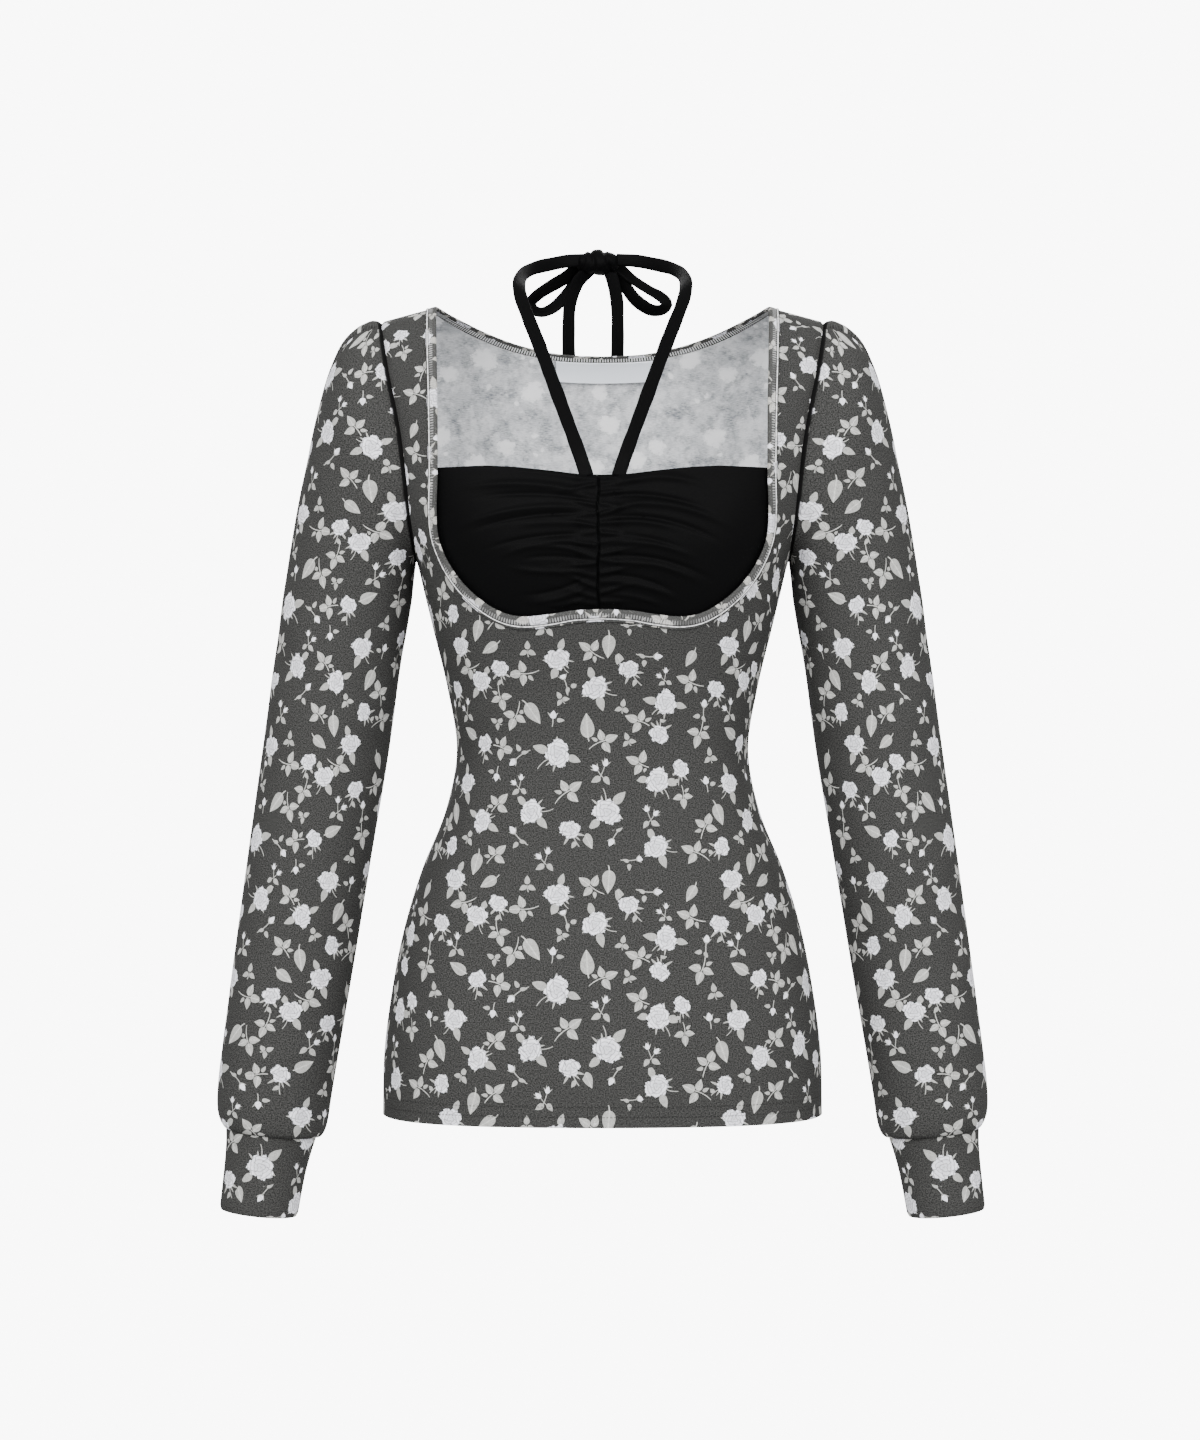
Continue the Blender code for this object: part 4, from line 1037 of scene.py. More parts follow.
tailRightRows = (
    (2.0, 63.0, 38.0, 0.9, 0.3, 0.3),
    (5.4, 64.4, 32.0, 0.9, 0.3, 0.3),
    (8.4, 66.6, 23.0, 1.0, 0.2, 0.2),
    (10.6, 69.2, 10.0, 1.0, 0.1, 0.1),
    (11.0, 72.0, -10.0, 1.0, 0.0, 0.0),
    (10.8, 75.2, -28.0, 1.0, 0.0, 0.0),
    (10.9, 80.9, -45.0, 1.0, 0.0, 0.0),
    (11.2, 88.0, -65.0, 1.0, 0.0, 0.0),
    (11.6, 93.4, -90.0, 1.0, 0.0, 0.0),
    (12.0, 96.2, -118.0, 1.0, 0.0, 0.0),
    (12.3, 96.8, -144.0, 1.0, 0.0, 0.0),
)
# the ties begin this far inside the knot
knotShape = {"centre": (-3.4, 64.0, 39.2), "size": (15.2, 9.8, 8.6), "sunk": 3.4, "rows": 48, "columns": 64}


def tieAlong(name, node, rows, finish):
    # flattened tube: the ring (cos a * width / 2, sin a * thickness / 2), squared a little, is carried along the
    # route from where it comes out of the knot
    fine = smoothRows(rows, np.linspace(0, len(rows) - 1, 1500))
    centre = np.array(knotShape["centre"])
    fromKnot = (fine[:, :3] - centre) / (np.array(knotShape["size"]) - knotShape["sunk"])
    fine = fine[np.linalg.norm(fromKnot, axis=1) > 1]
    length = runLength(fine[:, :3])
    steps = int(length[-1] / tieSize["step"])
    want = np.linspace(0, length[-1], steps + 1)
    path = np.stack([np.interp(want, length, fine[:, i]) for i in range(3)], axis=-1)
    wide = np.stack([np.interp(want, length, fine[:, i]) for i in range(3, 6)], axis=-1)
    along = unit(np.gradient(path, axis=0))
    wide = unit(wide - (wide * along).sum(-1, keepdims=True) * along)
    thin = np.cross(along, wide)
    turn = np.linspace(0, 2 * math.pi, tieSize["around"], endpoint=False)
    square = tieSize["square"]
    ringWide = np.sign(np.cos(turn)) * np.abs(np.cos(turn)) ** square * tieSize["width"] / 2
    ringThin = np.sign(np.sin(turn)) * np.abs(np.sin(turn)) ** square * tieSize["thick"] / 2
    uneven = 1 + 0.03 * np.sin(want / 9.0) + 0.02 * np.sin(want / 3.7 + 1)
    ring = ringWide[None, :, None] * wide[:, None] * uneven[:, None, None] + ringThin[None, :, None] * thin[:, None]
    grid = path[:, None] + ring
    points = np.concatenate([grid.reshape(-1, 3), grid[[0, -1]].mean(1)])
    index = np.arange(grid.shape[0] * len(turn)).reshape(-1, len(turn))
    girth = np.append(turn, 2 * math.pi) / (2 * math.pi) * (tieSize["width"] * 2.2)
    uvGrid = np.stack(np.broadcast_arrays(girth[None, :], want[:, None]), axis=-1)
    uvIndex = np.arange(uvGrid.shape[0] * uvGrid.shape[1]).reshape(uvGrid.shape[:2])
    tubeUv = uvGrid.reshape(-1, 2)[quadsOf(uvIndex)].reshape(-1, 2)
    endUv = np.repeat([(0.0, want[0]), (0.0, want[-1])], 3 * len(turn), axis=0)
    faces = quadsOf(index, True).tolist() + endFans(index, index.size).tolist()
    made = meshObject(name, points, faces, np.concatenate([tubeUv, endUv]), [finish])
    return settle(made, node), path, length[-1]


def mirrored(rows):
    return tuple((-x, y, z, -a, b, c) for x, y, z, a, b, c in rows)


tieRoutes = {
    "halterStrapLeft": ("tie_strap_left", mirrored(strapRows), "knot"),
    "halterStrapRight": ("tie_strap_right", strapRows, "knot"),
    "bowLoopLeft": ("tie_loop_left", loopLeftRows, "knot"),
    "bowLoopRight": ("tie_loop_right", loopRightRows, "knot"),
    "bowTailLeft": ("tie_tail_left", tailLeftRows, "bare"),
    "bowTailRight": ("tie_tail_right", tailRightRows, "bare"),
}
ties = {}
for pieceName, (node, rows, farEnd) in tieRoutes.items():
    made, path, length = tieAlong(pieceName, node, rows, finishes["jersey"])
    ties[pieceName] = (made, path, length, farEnd)
    print("tie", pieceName, round(length, 1), "mm")


def bowKnot(name, finish):
    # lump of (cos a, sin a ^ 0.6) with its poles on X, and soft grooves where the loops and tails come out of the wrap
    rows, columns = knotShape["rows"], knotShape["columns"]
    up = np.linspace(0, math.pi, rows + 1)[:, None]
    around = np.linspace(0, 2 * math.pi, columns, endpoint=False)[None, :]
    acrossShare = np.cos(up) * np.ones_like(around)
    ringShare = np.sin(up) ** 0.6
    fold = (
        -0.20 * np.exp(-(((acrossShare - 0.46 + 0.16 * np.sin(around)) / 0.08) ** 2))
        - 0.18 * np.exp(-(((acrossShare + 0.30 + 0.14 * np.sin(around + 1)) / 0.08) ** 2))
        - 0.14 * np.exp(-(((acrossShare + 0.72 + 0.10 * np.sin(around + 2)) / 0.07) ** 2))
        + 0.08 * np.exp(-(((acrossShare - 0.1) / 0.3) ** 2))
        - 0.05 * np.sin(3 * around + 4 * acrossShare) * np.exp(-((acrossShare / 0.8) ** 2))
    )
    reach = ringShare * (1 + fold)
    lump = np.stack([acrossShare, np.cos(around) * reach, np.sin(around) * reach], axis=-1)
    grid = lump * np.array(knotShape["size"]) + np.array(knotShape["centre"])
    points = np.concatenate([grid[1:-1].reshape(-1, 3), grid[[0, -1]].mean(1)])
    index = np.arange((rows - 1) * columns).reshape(rows - 1, columns)
    quads = quadsOf(index, True)[:, ::-1]
    fans = endFans(index, index.size)[:, ::-1]
    uv = points[np.concatenate([quads.ravel(), fans.ravel()])][:, [0, 2]]
    return settle(meshObject(name, points, quads.tolist() + fans.tolist(), uv, [finish]), "tie_knot")


knotPiece = bowKnot("bowKnot", finishes["jersey"])
for made, path, length, farEnd in ties.values():
    thinned = path[np.unique(np.append(np.arange(0, len(path) - 2, 3), len(path) - 1))]
    (path[0] * mm).tolist()
    length * mm
    (thinned * mm).tolist()
    [knotPiece] if farEnd == "knot" else []
print("ties and knot made")

bodySteps = np.linspace(0, 1, 48)


def clothPlace(angle, level, facing):
    # u is the length along the row from the centre line, and v the length up the body from the hem
    sweep = bodySteps[:, None] * np.abs(angle)[None]
    line = torso(sweep, np.broadcast_to(level, sweep.shape), facing)
    u = np.linalg.norm(np.diff(line, axis=0), axis=-1).sum(0) * np.sign(angle)
    return np.stack([u, riseTo(level, facing)], axis=-1)


# columns: start (u, height), end (u, height), bow, width, height of the ridge (a trough is negative)
frontCreases = (
    (-150, -178, -96, -236, 6, 9, -1.0),
    (-140, -196, -84, -262, 6, 12, 0.9),
    (-146, -168, -118, -206, 3, 6, 0.8),
    (-138, -318, -72, -300, -5, 10, -0.9),
    (-132, -342, -80, -330, -4, 9, 0.8),
    (-120, -292, -66, -286, 3, 8, 0.7),
    (150, -182, 100, -232, -6, 9, -1.0),
    (142, -198, 88, -256, -6, 12, 0.8),
    (148, -170, 120, -204, -3, 6, 0.8),
    (136, -322, 78, -306, 5, 10, -0.9),
    (130, -346, 84, -336, 4, 9, 0.7),
    (118, -296, 62, -290, -3, 8, 0.6),
    (-110, -470, -88, -560, 4, 14, 1.0),
    (-40, -480, -46, -562, -3, 16, -0.9),
    (36, -476, 44, -560, 3, 15, 0.9),
    (108, -474, 92, -560, -4, 14, -0.9),
)
backCreases = (
    (-150, -180, -98, -232, 6, 10, -1.1),
    (-142, -196, -82, -260, 5, 12, 1.0),
    (150, -184, 96, -236, -6, 10, -1.1),
    (140, -200, 84, -258, -5, 12, 0.9),
    (-120, -300, -30, -318, -6, 9, -1.2),
    (-108, -322, -24, -338, -5, 10, 1.0),
    (-96, -346, -20, -356, -4, 10, -0.9),
    (116, -302, 26, -320, 6, 9, -1.1),
    (106, -326, 22, -342, 5, 10, 1.0),
    (98, -350, 24, -362, 4, 10, -0.8),
    (-100, -470, -80, -560, 4, 14, 1.0),
    (-30, -480, -36, -562, -3, 16, -0.9),
    (30, -476, 40, -560, 3, 15, 0.9),
    (100, -474, 86, -560, -4, 14, -0.9),
    (-90, -60, -40, -110, 5, 12, 0.8),
    (88, -62, 42, -112, -5, 12, 0.8),
)


# radius turns an angle into a length, the cloth's edge rolls in over edgeWidth, its creases begin within flat of the
# edge, and a groove lies along each row of hem stitches
bodyShape = {
    "radius": 130.0, "edge": 1.6, "edgeWidth": 2.4, "flat": 10.0, "grooves": (7.0, 14.0), "deep": 0.35, "wide": 0.8,
}


def bodyPanel(name, node, neck, table):
    # a wall on the torso surface, raised along its normal by the creases
    body, strip = panelBlocks(neck)
    body = bothHalves(body)
    index = np.arange(body.shape[0] * body.shape[1]).reshape(body.shape[:2])
    places = [body.reshape(-1, 2)]
    quads = [quadsOf(index)]
    if strip is not None:
        width = strip.shape[1]
        for foot, block in ((index[-1, -width:], strip), (index[-1, :width], strip[:, ::-1] * (-1, 1))):
            first = sum(len(place) for place in places)
            rows = first + np.arange(block.shape[0] * width).reshape(-1, width)
            places.append(block.reshape(-1, 2))
            quads.append(quadsOf(np.concatenate([foot[None], rows])))
    angle, level = np.concatenate(places).T
    quads = np.concatenate(quads)
    facing = neck["facing"]
    outer = torso(angle, level, facing)
    outer[:, 1] += facing * seamGap / 2
    normal = torsoNormal(angle, level, facing)
    uv = clothPlace(angle, level, facing)
    fromEdge = (armholeAngle(level) - np.abs(angle)) * bodyShape["radius"]
    raised = creases(uv[:, 0], outer[:, 2], table) * smoothStep(fromEdge, 0.0, bodyShape["flat"])
    raised = raised - bodyShape["edge"] * np.exp(-((fromEdge / bodyShape["edgeWidth"]) ** 2))
    for groove in bodyShape["grooves"]:
        raised = raised - bodyShape["deep"] * np.exp(-(((uv[:, 1] - groove) / bodyShape["wide"]) ** 2))
    outer = outer + normal * raised[:, None]
    inner = outer - normal * wallOf["knit"]
    made = shell(name, outer, inner, quads, uv[quads], [finishes["body"], finishes["wrong"]], flip=facing > 0)
    settle(made, node)
    area = sheetArea(outer, quads)
    width = 2 * float(np.abs(uv[:, 0]).max()) * mm
    return made


bodyPanel("frontBody", "front_body", frontNeck, frontCreases)
backPiece = bodyPanel("backBody", "back_body", backNeck, backCreases)


# share of the width across the strip and height over the body: a folded edge, a flat run, and a raised seam
bindingProfile = (
    (0.00, -1.5), (0.00, -0.6), (0.03, 0.1), (0.12, 0.62), (0.30, 0.80), (0.50, 0.80), (0.68, 0.72), (0.76, 0.40),
    (0.82, 0.95), (0.90, 1.15), (0.97, 0.80), (1.00, -0.2), (1.00, -1.5),
)
# row of the profile that the strip's length is measured on, and the print's widths at the centre and the neck points
bindingPlace = {"row": 5, "widths": (8.4, 7.4), "over": 0.3}


def neckBinding(name, node, neck, finishPair):
    # the profile carried along the neckline, and closed underneath and at both ends
    lines = []
    for share, height in bindingProfile:
        angle, level = besideEdge(neck, share, 0.0).T
        point = torso(angle, level, neck["facing"])
        point[-1, 1] = neck["facing"] * seamGap / 2
        lines.append(point + torsoNormal(angle, level, neck["facing"]) * height)
    grid = bothHalves(np.stack(lines))
    shares, heights = np.array(bindingProfile).T
    run = runLength(grid[bindingPlace["row"]])
    width = np.interp(np.abs(np.linspace(-1, 1, grid.shape[1])), (0, 1), bindingPlace["widths"])
    v = shares[:, None] * width[None] + heights[:, None] * bindingPlace["over"]
    uvGrid = np.stack(np.broadcast_arrays(run - run[-1] / 2, v), axis=-1)
    index = np.arange(grid.shape[0] * grid.shape[1]).reshape(grid.shape[:2])
    above, under = quadsOf(index), quadsOf(index[[-1, 0]])
    quads = np.concatenate([above, under])
    ends = np.stack([index[:, 0], index[::-1, -1]])
    if neck["facing"] < 0:
        quads, ends = quads[:, ::-1], ends[:, ::-1]
    uv = uvGrid.reshape(-1, 2)[np.concatenate([quads.ravel(), ends.ravel()])]
    kinds = np.repeat([0, 1, 0], [len(above), len(under), len(ends)])
    faces = quads.tolist() + ends.tolist()
    made = meshObject(name, grid.reshape(-1, 3), faces, uv, finishPair, kinds, sharp=60)
    settle(made, node)
    print(name, "strip", round(run[-1], 1), "mm long")


neckBinding("frontBinding", "neck_binding_front", frontNeck, [finishes["binding"], finishes["bindingInside"]])
neckBinding("backBinding", "neck_binding_back", backNeck, [finishes["binding"], finishes["bindingInside"]])

# columns: outer x, outer z, inner x, inner z, front depth, back depth, middle y, share of the armhole's shape
sleeveRows = (
    (155.6, -10.5, 130.3, -180.2, 53.0, 49.0, -1.0, 1.00),
    (163.0, -12.6, 130.6, -181.0, 55.0, 51.0, -1.0, 0.90),
    (171.8, -16.8, 130.9, -182.5, 56.5, 52.5, -1.0, 0.70),
    (180.8, -25.2, 131.2, -185.0, 57.0, 53.5, -1.0, 0.45),
    (187.4, -37.1, 131.6, -188.5, 56.5, 53.5, -1.0, 0.25),
    (194.0, -54.5, 132.1, -193.0, 55.0, 53.0, -1.0, 0.12),
    (200.4, -79.0, 132.7, -198.5, 53.0, 51.5, 0.0, 0.05),
    (207.2, -109.0, 133.5, -205.5, 50.5, 50.0, 1.0, 0.00),
    (214.4, -145.5, 135.0, -214.5, 48.0, 48.0, 2.0, 0.00),
    (220.8, -184.0, 137.2, -227.0, 46.5, 46.5, 3.0, 0.00),
    (228.4, -236.0, 142.0, -254.0, 45.5, 45.5, 4.0, 0.00),
    (237.0, -300.0, 150.0, -312.5, 44.5, 44.5, 5.0, 0.00),
    (247.0, -373.0, 162.0, -385.0, 43.0, 43.0, 3.0, 0.00),
    (256.6, -447.0, 173.8, -459.0, 41.5, 41.5, -2.0, 0.00),
    (264.4, -510.0, 184.2, -521.5, 40.5, 40.5, -7.0, 0.00),
    (268.2, -543.0, 189.4, -554.0, 40.0, 40.0, -9.5, 0.00),
    (268.2, -560.0, 191.6, -569.5, 39.0, 39.0, -10.5, 0.00),
    (265.4, -569.6, 194.4, -577.8, 36.0, 36.0, -11.0, 0.00),
    (262.4, -572.6, 199.2, -579.6, 32.0, 32.0, -11.0, 0.00),
)
cuffRows = (
    (262.3, -573.0, 199.6, -580.2, 31.5, 31.5, -11.0, 0.00),
    (262.2, -583.0, 202.8, -590.0, 30.0, 30.0, -11.5, 0.00),
    (263.4, -600.0, 207.2, -606.5, 28.5, 28.5, -12.5, 0.00),
    (266.4, -628.5, 212.4, -634.5, 27.5, 27.5, -14.0, 0.00),
)
# rings of the grids, and how the armhole's ring is tucked in. steadyRing is the first ring whose girth the print keeps
sleeveGrid = {"rings": 150, "cuffRings": 22, "gap": 0.05, "tuck": 1.3, "sink": 2.5, "steadyRing": 80}
# the leaning line that the cloth is measured round and along
sleeveAxis = {"x": 158.0, "y": -1.0, "z": -60.0, "lean": 0.147, "halfWidth": 41.5, "halfDepth": 45.0, "down": 45.0}
pleatShape = {
    "height": 2.6, "half": 8.2, "edge": 0.9, "groove": 4.8, "beside": 1.6, "width": 1.25,
    "endRing": 6.0, "startRing": 0.12,
}
# the sleeve's edge turned in at the armhole, and the cuff's at the wrist and at its seam: depth and width of each
turnedIn = {"armhole": (2.2, 2.2), "seam": (0.9, 1.6), "wrist": (0.9, 1.0)}
# where the cuff's print starts, and how its first ring is moved up into the sleeve
cuffCloth = (84.0, -12.0)
cuffHead = (-0.2, 0, 1.6)


def armholeRing(degrees):
    # points of the armhole, 0 at the shoulder and 180 at the underarm, and the ring tucked into the body's cloth:
    # each of its points is the armhole's moved beside it onto the panel and in along the surface's normal
    level = np.linspace(torsoShape["shoulder"], torsoShape["underarm"], 400)
    angle = armholeAngle(level)
    rings = []
    for facing, share in ((-1, degrees / 180), (1, (360 - degrees) / 180)):
        line = torso(angle, level, facing)
        normal = torsoNormal(angle, level, facing)
        beside = unit(facing * np.cross(normal, np.gradient(line, axis=0)))
        tucked = line + beside * sleeveGrid["tuck"] - normal * sleeveGrid["sink"]
        run = runLength(line)
        want = np.clip(share, 0, 1) * run[-1]
        both = np.concatenate([line, tucked], axis=1)
        rings.append(np.stack([np.interp(want, run, both[:, i]) for i in range(6)], axis=-1))
    ring = np.where((degrees <= 180)[:, None], rings[0], rings[1])
    ring[degrees % 180 == 0, 4] = 0
    return ring[:, :3], ring[:, 3:]


def ringPoints(row, degrees, armhole):
    # ellipse between the ring's outer and inner points, blended with the armhole's shape
    outX, outZ, inX, inZ, front, back, middle, seam = row
    turn = np.radians(degrees)
    outer = np.array((outX, middle, outZ))
    inner = np.array((inX, middle, inZ))
    depth = np.where(degrees <= 180, front, back)
    ring = (outer + inner) / 2 + np.cos(turn)[:, None] * (outer - inner) / 2
    ring[:, 1] -= np.sin(turn) * depth
    seamOuter = armhole[degrees.argmin()]
    seamInner = armhole[np.abs(degrees - 180).argmin()]
    span = seamOuter - seamInner
    along = ((armhole - seamInner) @ span) / (span @ span)
    rest = armhole - seamInner - along[:, None] * span
    likeSeam = inner + along[:, None] * (outer - inner) + rest
    return ring * (1 - seam) + likeSeam * seam


def loft(rows, place, degrees, armhole):
    return np.stack([ringPoints(row, degrees, armhole) for row in smoothRows(rows, place)])


def meanRun(grid):
    # mean length of a grid's columns from its first row
    return np.concatenate([[0], np.cumsum(np.linalg.norm(np.diff(grid, axis=0), axis=-1).mean(1))])


# columns as for the body, with u round the sleeve from the front's middle and z the length down from the seam
sleeveCreases = (
    (-58, 40, 12, 96, 5, 9, 1.1),
    (-46, 70, 18, 120, 5, 8, -1.0),
    (60, 60, 14, 130, -6, 10, 1.0),
    (70, 92, 20, 150, -5, 8, -1.0),
    (66, 190, 6, 232, -5, 9, 1.1),
    (72, 220, 0, 262, -6, 9, -1.2),
    (64, 250, 10, 290, -4, 9, 1.0),
    (-62, 240, -8, 280, 5, 9, 0.9),
    (-70, 270, -12, 306, 5, 8, -0.9),
    (58, 360, 12, 396, -4, 9, 0.8),
    (-60, 400, -4, 440, 5, 9, -0.9),
    (52, 440, 2, 476, -5, 8, 0.9),
    (-44, 486, 16, 520, 4, 7, 0.9),
    (-30, 500, 34, 536, 4, 6, -0.8),
)


# small gathers over the cuff. Columns: place as a share of the girth from the front's middle, width, height
cuffGathers = (
    (0.06, 5, 1.3), (0.14, 4, 1.0), (0.22, 5, 1.4), (0.31, 4, 1.1), (0.40, 5, 1.2), (0.49, 4, 1.3),
    (0.57, 5, 1.0), (0.66, 4, 1.4), (0.74, 5, 1.2), (0.83, 4, 1.1), (0.92, 5, 1.3),
)
# they fade out between these lengths above the cuff, lie this much lower between them, and lean by turns
gatherShape = {"high": (46.0, 6.0), "low": (0.0, 5.0), "mean": 0.6, "lean": 0.12}


def gathersOver(turnShare, girth, fromCuff):
    # sum of height * exp(-(distance / width)^2), where the distance leans with the length up from the cuff
    total = 0.0
    for number, (spot, width, height) in enumerate(cuffGathers):
        lean = gatherShape["lean"] * (-1) ** number
        away = ((turnShare - spot + 0.5) % 1 - 0.5) * girth[:, None] - fromCuff[:, None] * lean
        total = total + height * np.exp(-((away / width) ** 2))
    fade = smoothStep(fromCuff, *gatherShape["high"]) * smoothStep(fromCuff, *gatherShape["low"])
    return (total - gatherShape["mean"]) * fade[:, None]


def pleatOver(degrees, radius, place):
    # a flat lip round the top, with a groove on both its sides, fading out down the sleeve
    offset = np.radians(np.minimum(degrees, 360 - degrees))[None, :] * radius
    fade = smoothStep(place, pleatShape["endRing"], 0.0) * smoothStep(place, 0.0, pleatShape["startRing"])
    lip = smoothStep(offset, pleatShape["half"] + pleatShape["edge"], pleatShape["half"])
    groove = np.exp(-(((offset - pleatShape["half"] - pleatShape["beside"]) / pleatShape["width"]) ** 2))
    return (pleatShape["height"] * lip - pleatShape["groove"] * groove) * fade[:, None]


def turnedEdge(length, edge):
    # depth * exp(-(length / width)^2)
    depth, width = turnedIn[edge]
    return depth * np.exp(-((length / width) ** 2))


def sleeveAndCuff(side):
    word = "Right" if side > 0 else "Left"
    # columns half a degree apart at the top, where the pleat is, and three degrees elsewhere
    half = np.concatenate([np.arange(0, 14, 0.5), np.arange(15, 180, 3)]).astype(float)
    degrees = np.concatenate([half, [180.0], 360 - half[:0:-1]])
    # start at the underarm, where the seam is
    degrees = np.roll(degrees, -len(half))
    armhole, tucked = armholeRing(degrees)
    armhole = armhole + (sleeveGrid["gap"], 0, 0)
    # rings close together at the head and at the cuff
    place = np.interp(np.linspace(0, 1, sleeveGrid["rings"]), (0, 0.12, 0.9, 1), (0, 4.0, 15.0, len(sleeveRows) - 1))
    sleeve = loft(sleeveRows, place, degrees, armhole)
    fromCentre = sleeve - sleeve.mean(axis=1, keepdims=True)

    # u is the angle round the sleeve's leaning axis times the mean radius, and v the length up that axis
    ring = np.concatenate([sleeve, sleeve[:, :1]], axis=1)
    axis = unit(np.array((sleeveAxis["lean"], 0.0, -1.0)))
    fromAxis = ring - (sleeveAxis["x"], sleeveAxis["y"], sleeveAxis["z"])
    v = -(fromAxis @ axis)
    beside = fromAxis @ np.array((-axis[2], 0.0, axis[0]))
    turn = np.arctan2(beside / sleeveAxis["halfWidth"], -fromAxis[..., 1] / sleeveAxis["halfDepth"])
    turn = np.unwrap(turn, axis=1)
    frontColumn = int(np.argmin(np.abs(degrees - 90)))
    turn = turn - 2 * math.pi * np.round(turn[:, frontColumn : frontColumn + 1] / (2 * math.pi))
    girth = np.linalg.norm(np.diff(ring, axis=1), axis=-1).sum(1)
    level, steady = v.mean(1), sleeveGrid["steadyRing"]
    printGirth = np.interp(level[::-1], level[steady:][::-1], girth[steady:][::-1])[::-1, None]
    u = turn * (printGirth / (2 * math.pi))
    wrapU = (u[:, :-1] + printGirth / 2) % printGirth - printGirth / 2

    alongFront = meanRun(sleeve)
    raised = pleatOver(degrees, np.linalg.norm(fromCentre, axis=-1), place)
    folds = creases(wrapU, sleeveAxis["down"] - v[:, :-1], sleeveCreases)
    raised = raised + folds * smoothStep(place, 2.0, 6.0)[:, None]
    raised = raised + gathersOver(turn[:, :-1] / (2 * math.pi), girth, alongFront[-1] - alongFront)
    raised = raised - turnedEdge(alongFront, "armhole")[:, None]
    sleeve = sleeve + unit(fromCentre) * raised[..., None]
    sleeve[0] = tucked

    cuff = loft(cuffRows, np.linspace(0, len(cuffRows) - 1, sleeveGrid["cuffRings"]), degrees, armhole)
    cuff[0] += cuffHead
    for piece, outer, thickness, held in (
        ("sleeve", sleeve, wallOf["knit"], "hung"),
        ("cuff", cuff, wallOf["cuff"], "stretched"),
    ):
        normal = gridNormals(outer)
        if (normal * (outer - outer.mean(axis=1, keepdims=True))).sum() < 0:
            normal = -normal
        uvGrid = np.stack([u, v], axis=-1)
        if piece == "cuff":
            length = meanRun(outer)
            steps = np.linalg.norm(np.roll(outer, -1, axis=1) - outer, axis=-1)
            run = np.concatenate([np.zeros((len(outer), 1)), np.cumsum(steps, axis=1)], axis=1)
            run = run - run[:, frontColumn : frontColumn + 1] + cuffCloth[0]
            uvGrid = np.stack(np.broadcast_arrays(run, cuffCloth[1] - length[:, None]), axis=-1)
            sink = turnedEdge(length, "seam") + turnedEdge(length[-1] - length, "wrist")
            outer = outer - normal * sink[:, None, None]
        inner = outer - normal * thickness
        index = np.arange(outer.shape[0] * outer.shape[1]).reshape(outer.shape[:2])
        area = sheetArea(outer.reshape(-1, 3), quadsOf(index, True))
        made = gridShell(
            piece + word, outer * (side, 1, 1), inner * (side, 1, 1), uvGrid,
            [finishes[piece], finishes["wrong"]], closed=True, flip=side < 0,
        )
        if piece == "sleeve":
            # length from the armhole, which places the painted seam shade
            distanceLayer(made, "armhole", np.tile(np.repeat(alongFront, len(degrees)), 2))
        settle(made, f"{piece}_{word.lower()}")
        width = float(np.linalg.norm(np.roll(outer, -1, axis=1) - outer, axis=-1).sum(1).max()) * mm


for side in (-1, 1):
    sleeveAndCuff(side)

bandeauTop = ((0.0, -123.4), (17.0, -122.8), (37.0, -120.2), (60.0, -117.6), (80.0, -116.5), (120.0, -117.6))
# casing is how far each stitch row stands from the centre seam, and columns crowd towards that seam
bandeauShape = {
    "depth": 3.45, "tuck": 0.6, "seam": -3.0, "columns": 110, "rows": 110, "casing": 13.5, "pucker": 1.7,
    "crowd": 1.25, "centreGroove": (1.1, 0.55), "rowGroove": (0.45, 1.0),
}
# long soft folds that fan out of the gathers: start (x, height), end (x, height), bow, width, height
bandeauFolds = (
    (-8, -129, -60, -121, -3, 2.4, 0.9),
    (-8, -137, -88, -131, -4, 2.6, 1.7),
    (-9, -141, -80, -138, -3, 1.7, -1.2),
    (-8, -147, -92, -156, -5, 2.4, 1.6),
    (-9, -151, -86, -160, -4, 1.5, -1.2),
    (-8, -159, -56, -158, -2, 2.2, 1.0),
    (-9, -165, -76, -173, -3, 1.5, -1.1),
    (-8, -169, -66, -178, -3, 2.2, 1.2),
    (-8, -178, -46, -174, -2, 1.8, 1.1),
    (-9, -183, -52, -181, -2, 1.4, -1.0),
    (-8, -189, -60, -188, 2, 1.8, 1.2),
    (-9, -193, -52, -206, 3, 1.5, -1.1),
    (-8, -199, -50, -211, 3, 2.0, 1.3),
    (-8, -207, -40, -213, 2, 1.6, 0.9),
    (3, -128, 40, -122, 3, 2.0, 0.9),
    (3, -133, 66, -129, 6, 2.6, 1.7),
    (4, -138, 68, -146, 4, 1.8, -1.5),
    (3, -146, 82, -156, 7, 2.6, 1.7),
    (4, -153, 78, -168, 6, 1.7, -1.5),
    (3, -158, 48, -160, 3, 2.0, 1.1),
    (4, -165, 54, -175, 3, 1.6, -1.0),
    (3, -171, 60, -179, 4, 2.2, 1.2),
    (4, -180, 72, -194, 5, 1.6, -1.2),
    (3, -185, 64, -196, 5, 2.0, 1.2),
    (4, -193, 46, -203, 3, 1.5, -1.0),
    (3, -198, 50, -208, 3, 2.0, 1.2),
    (3, -206, 40, -213, 2, 1.6, 0.9),
)
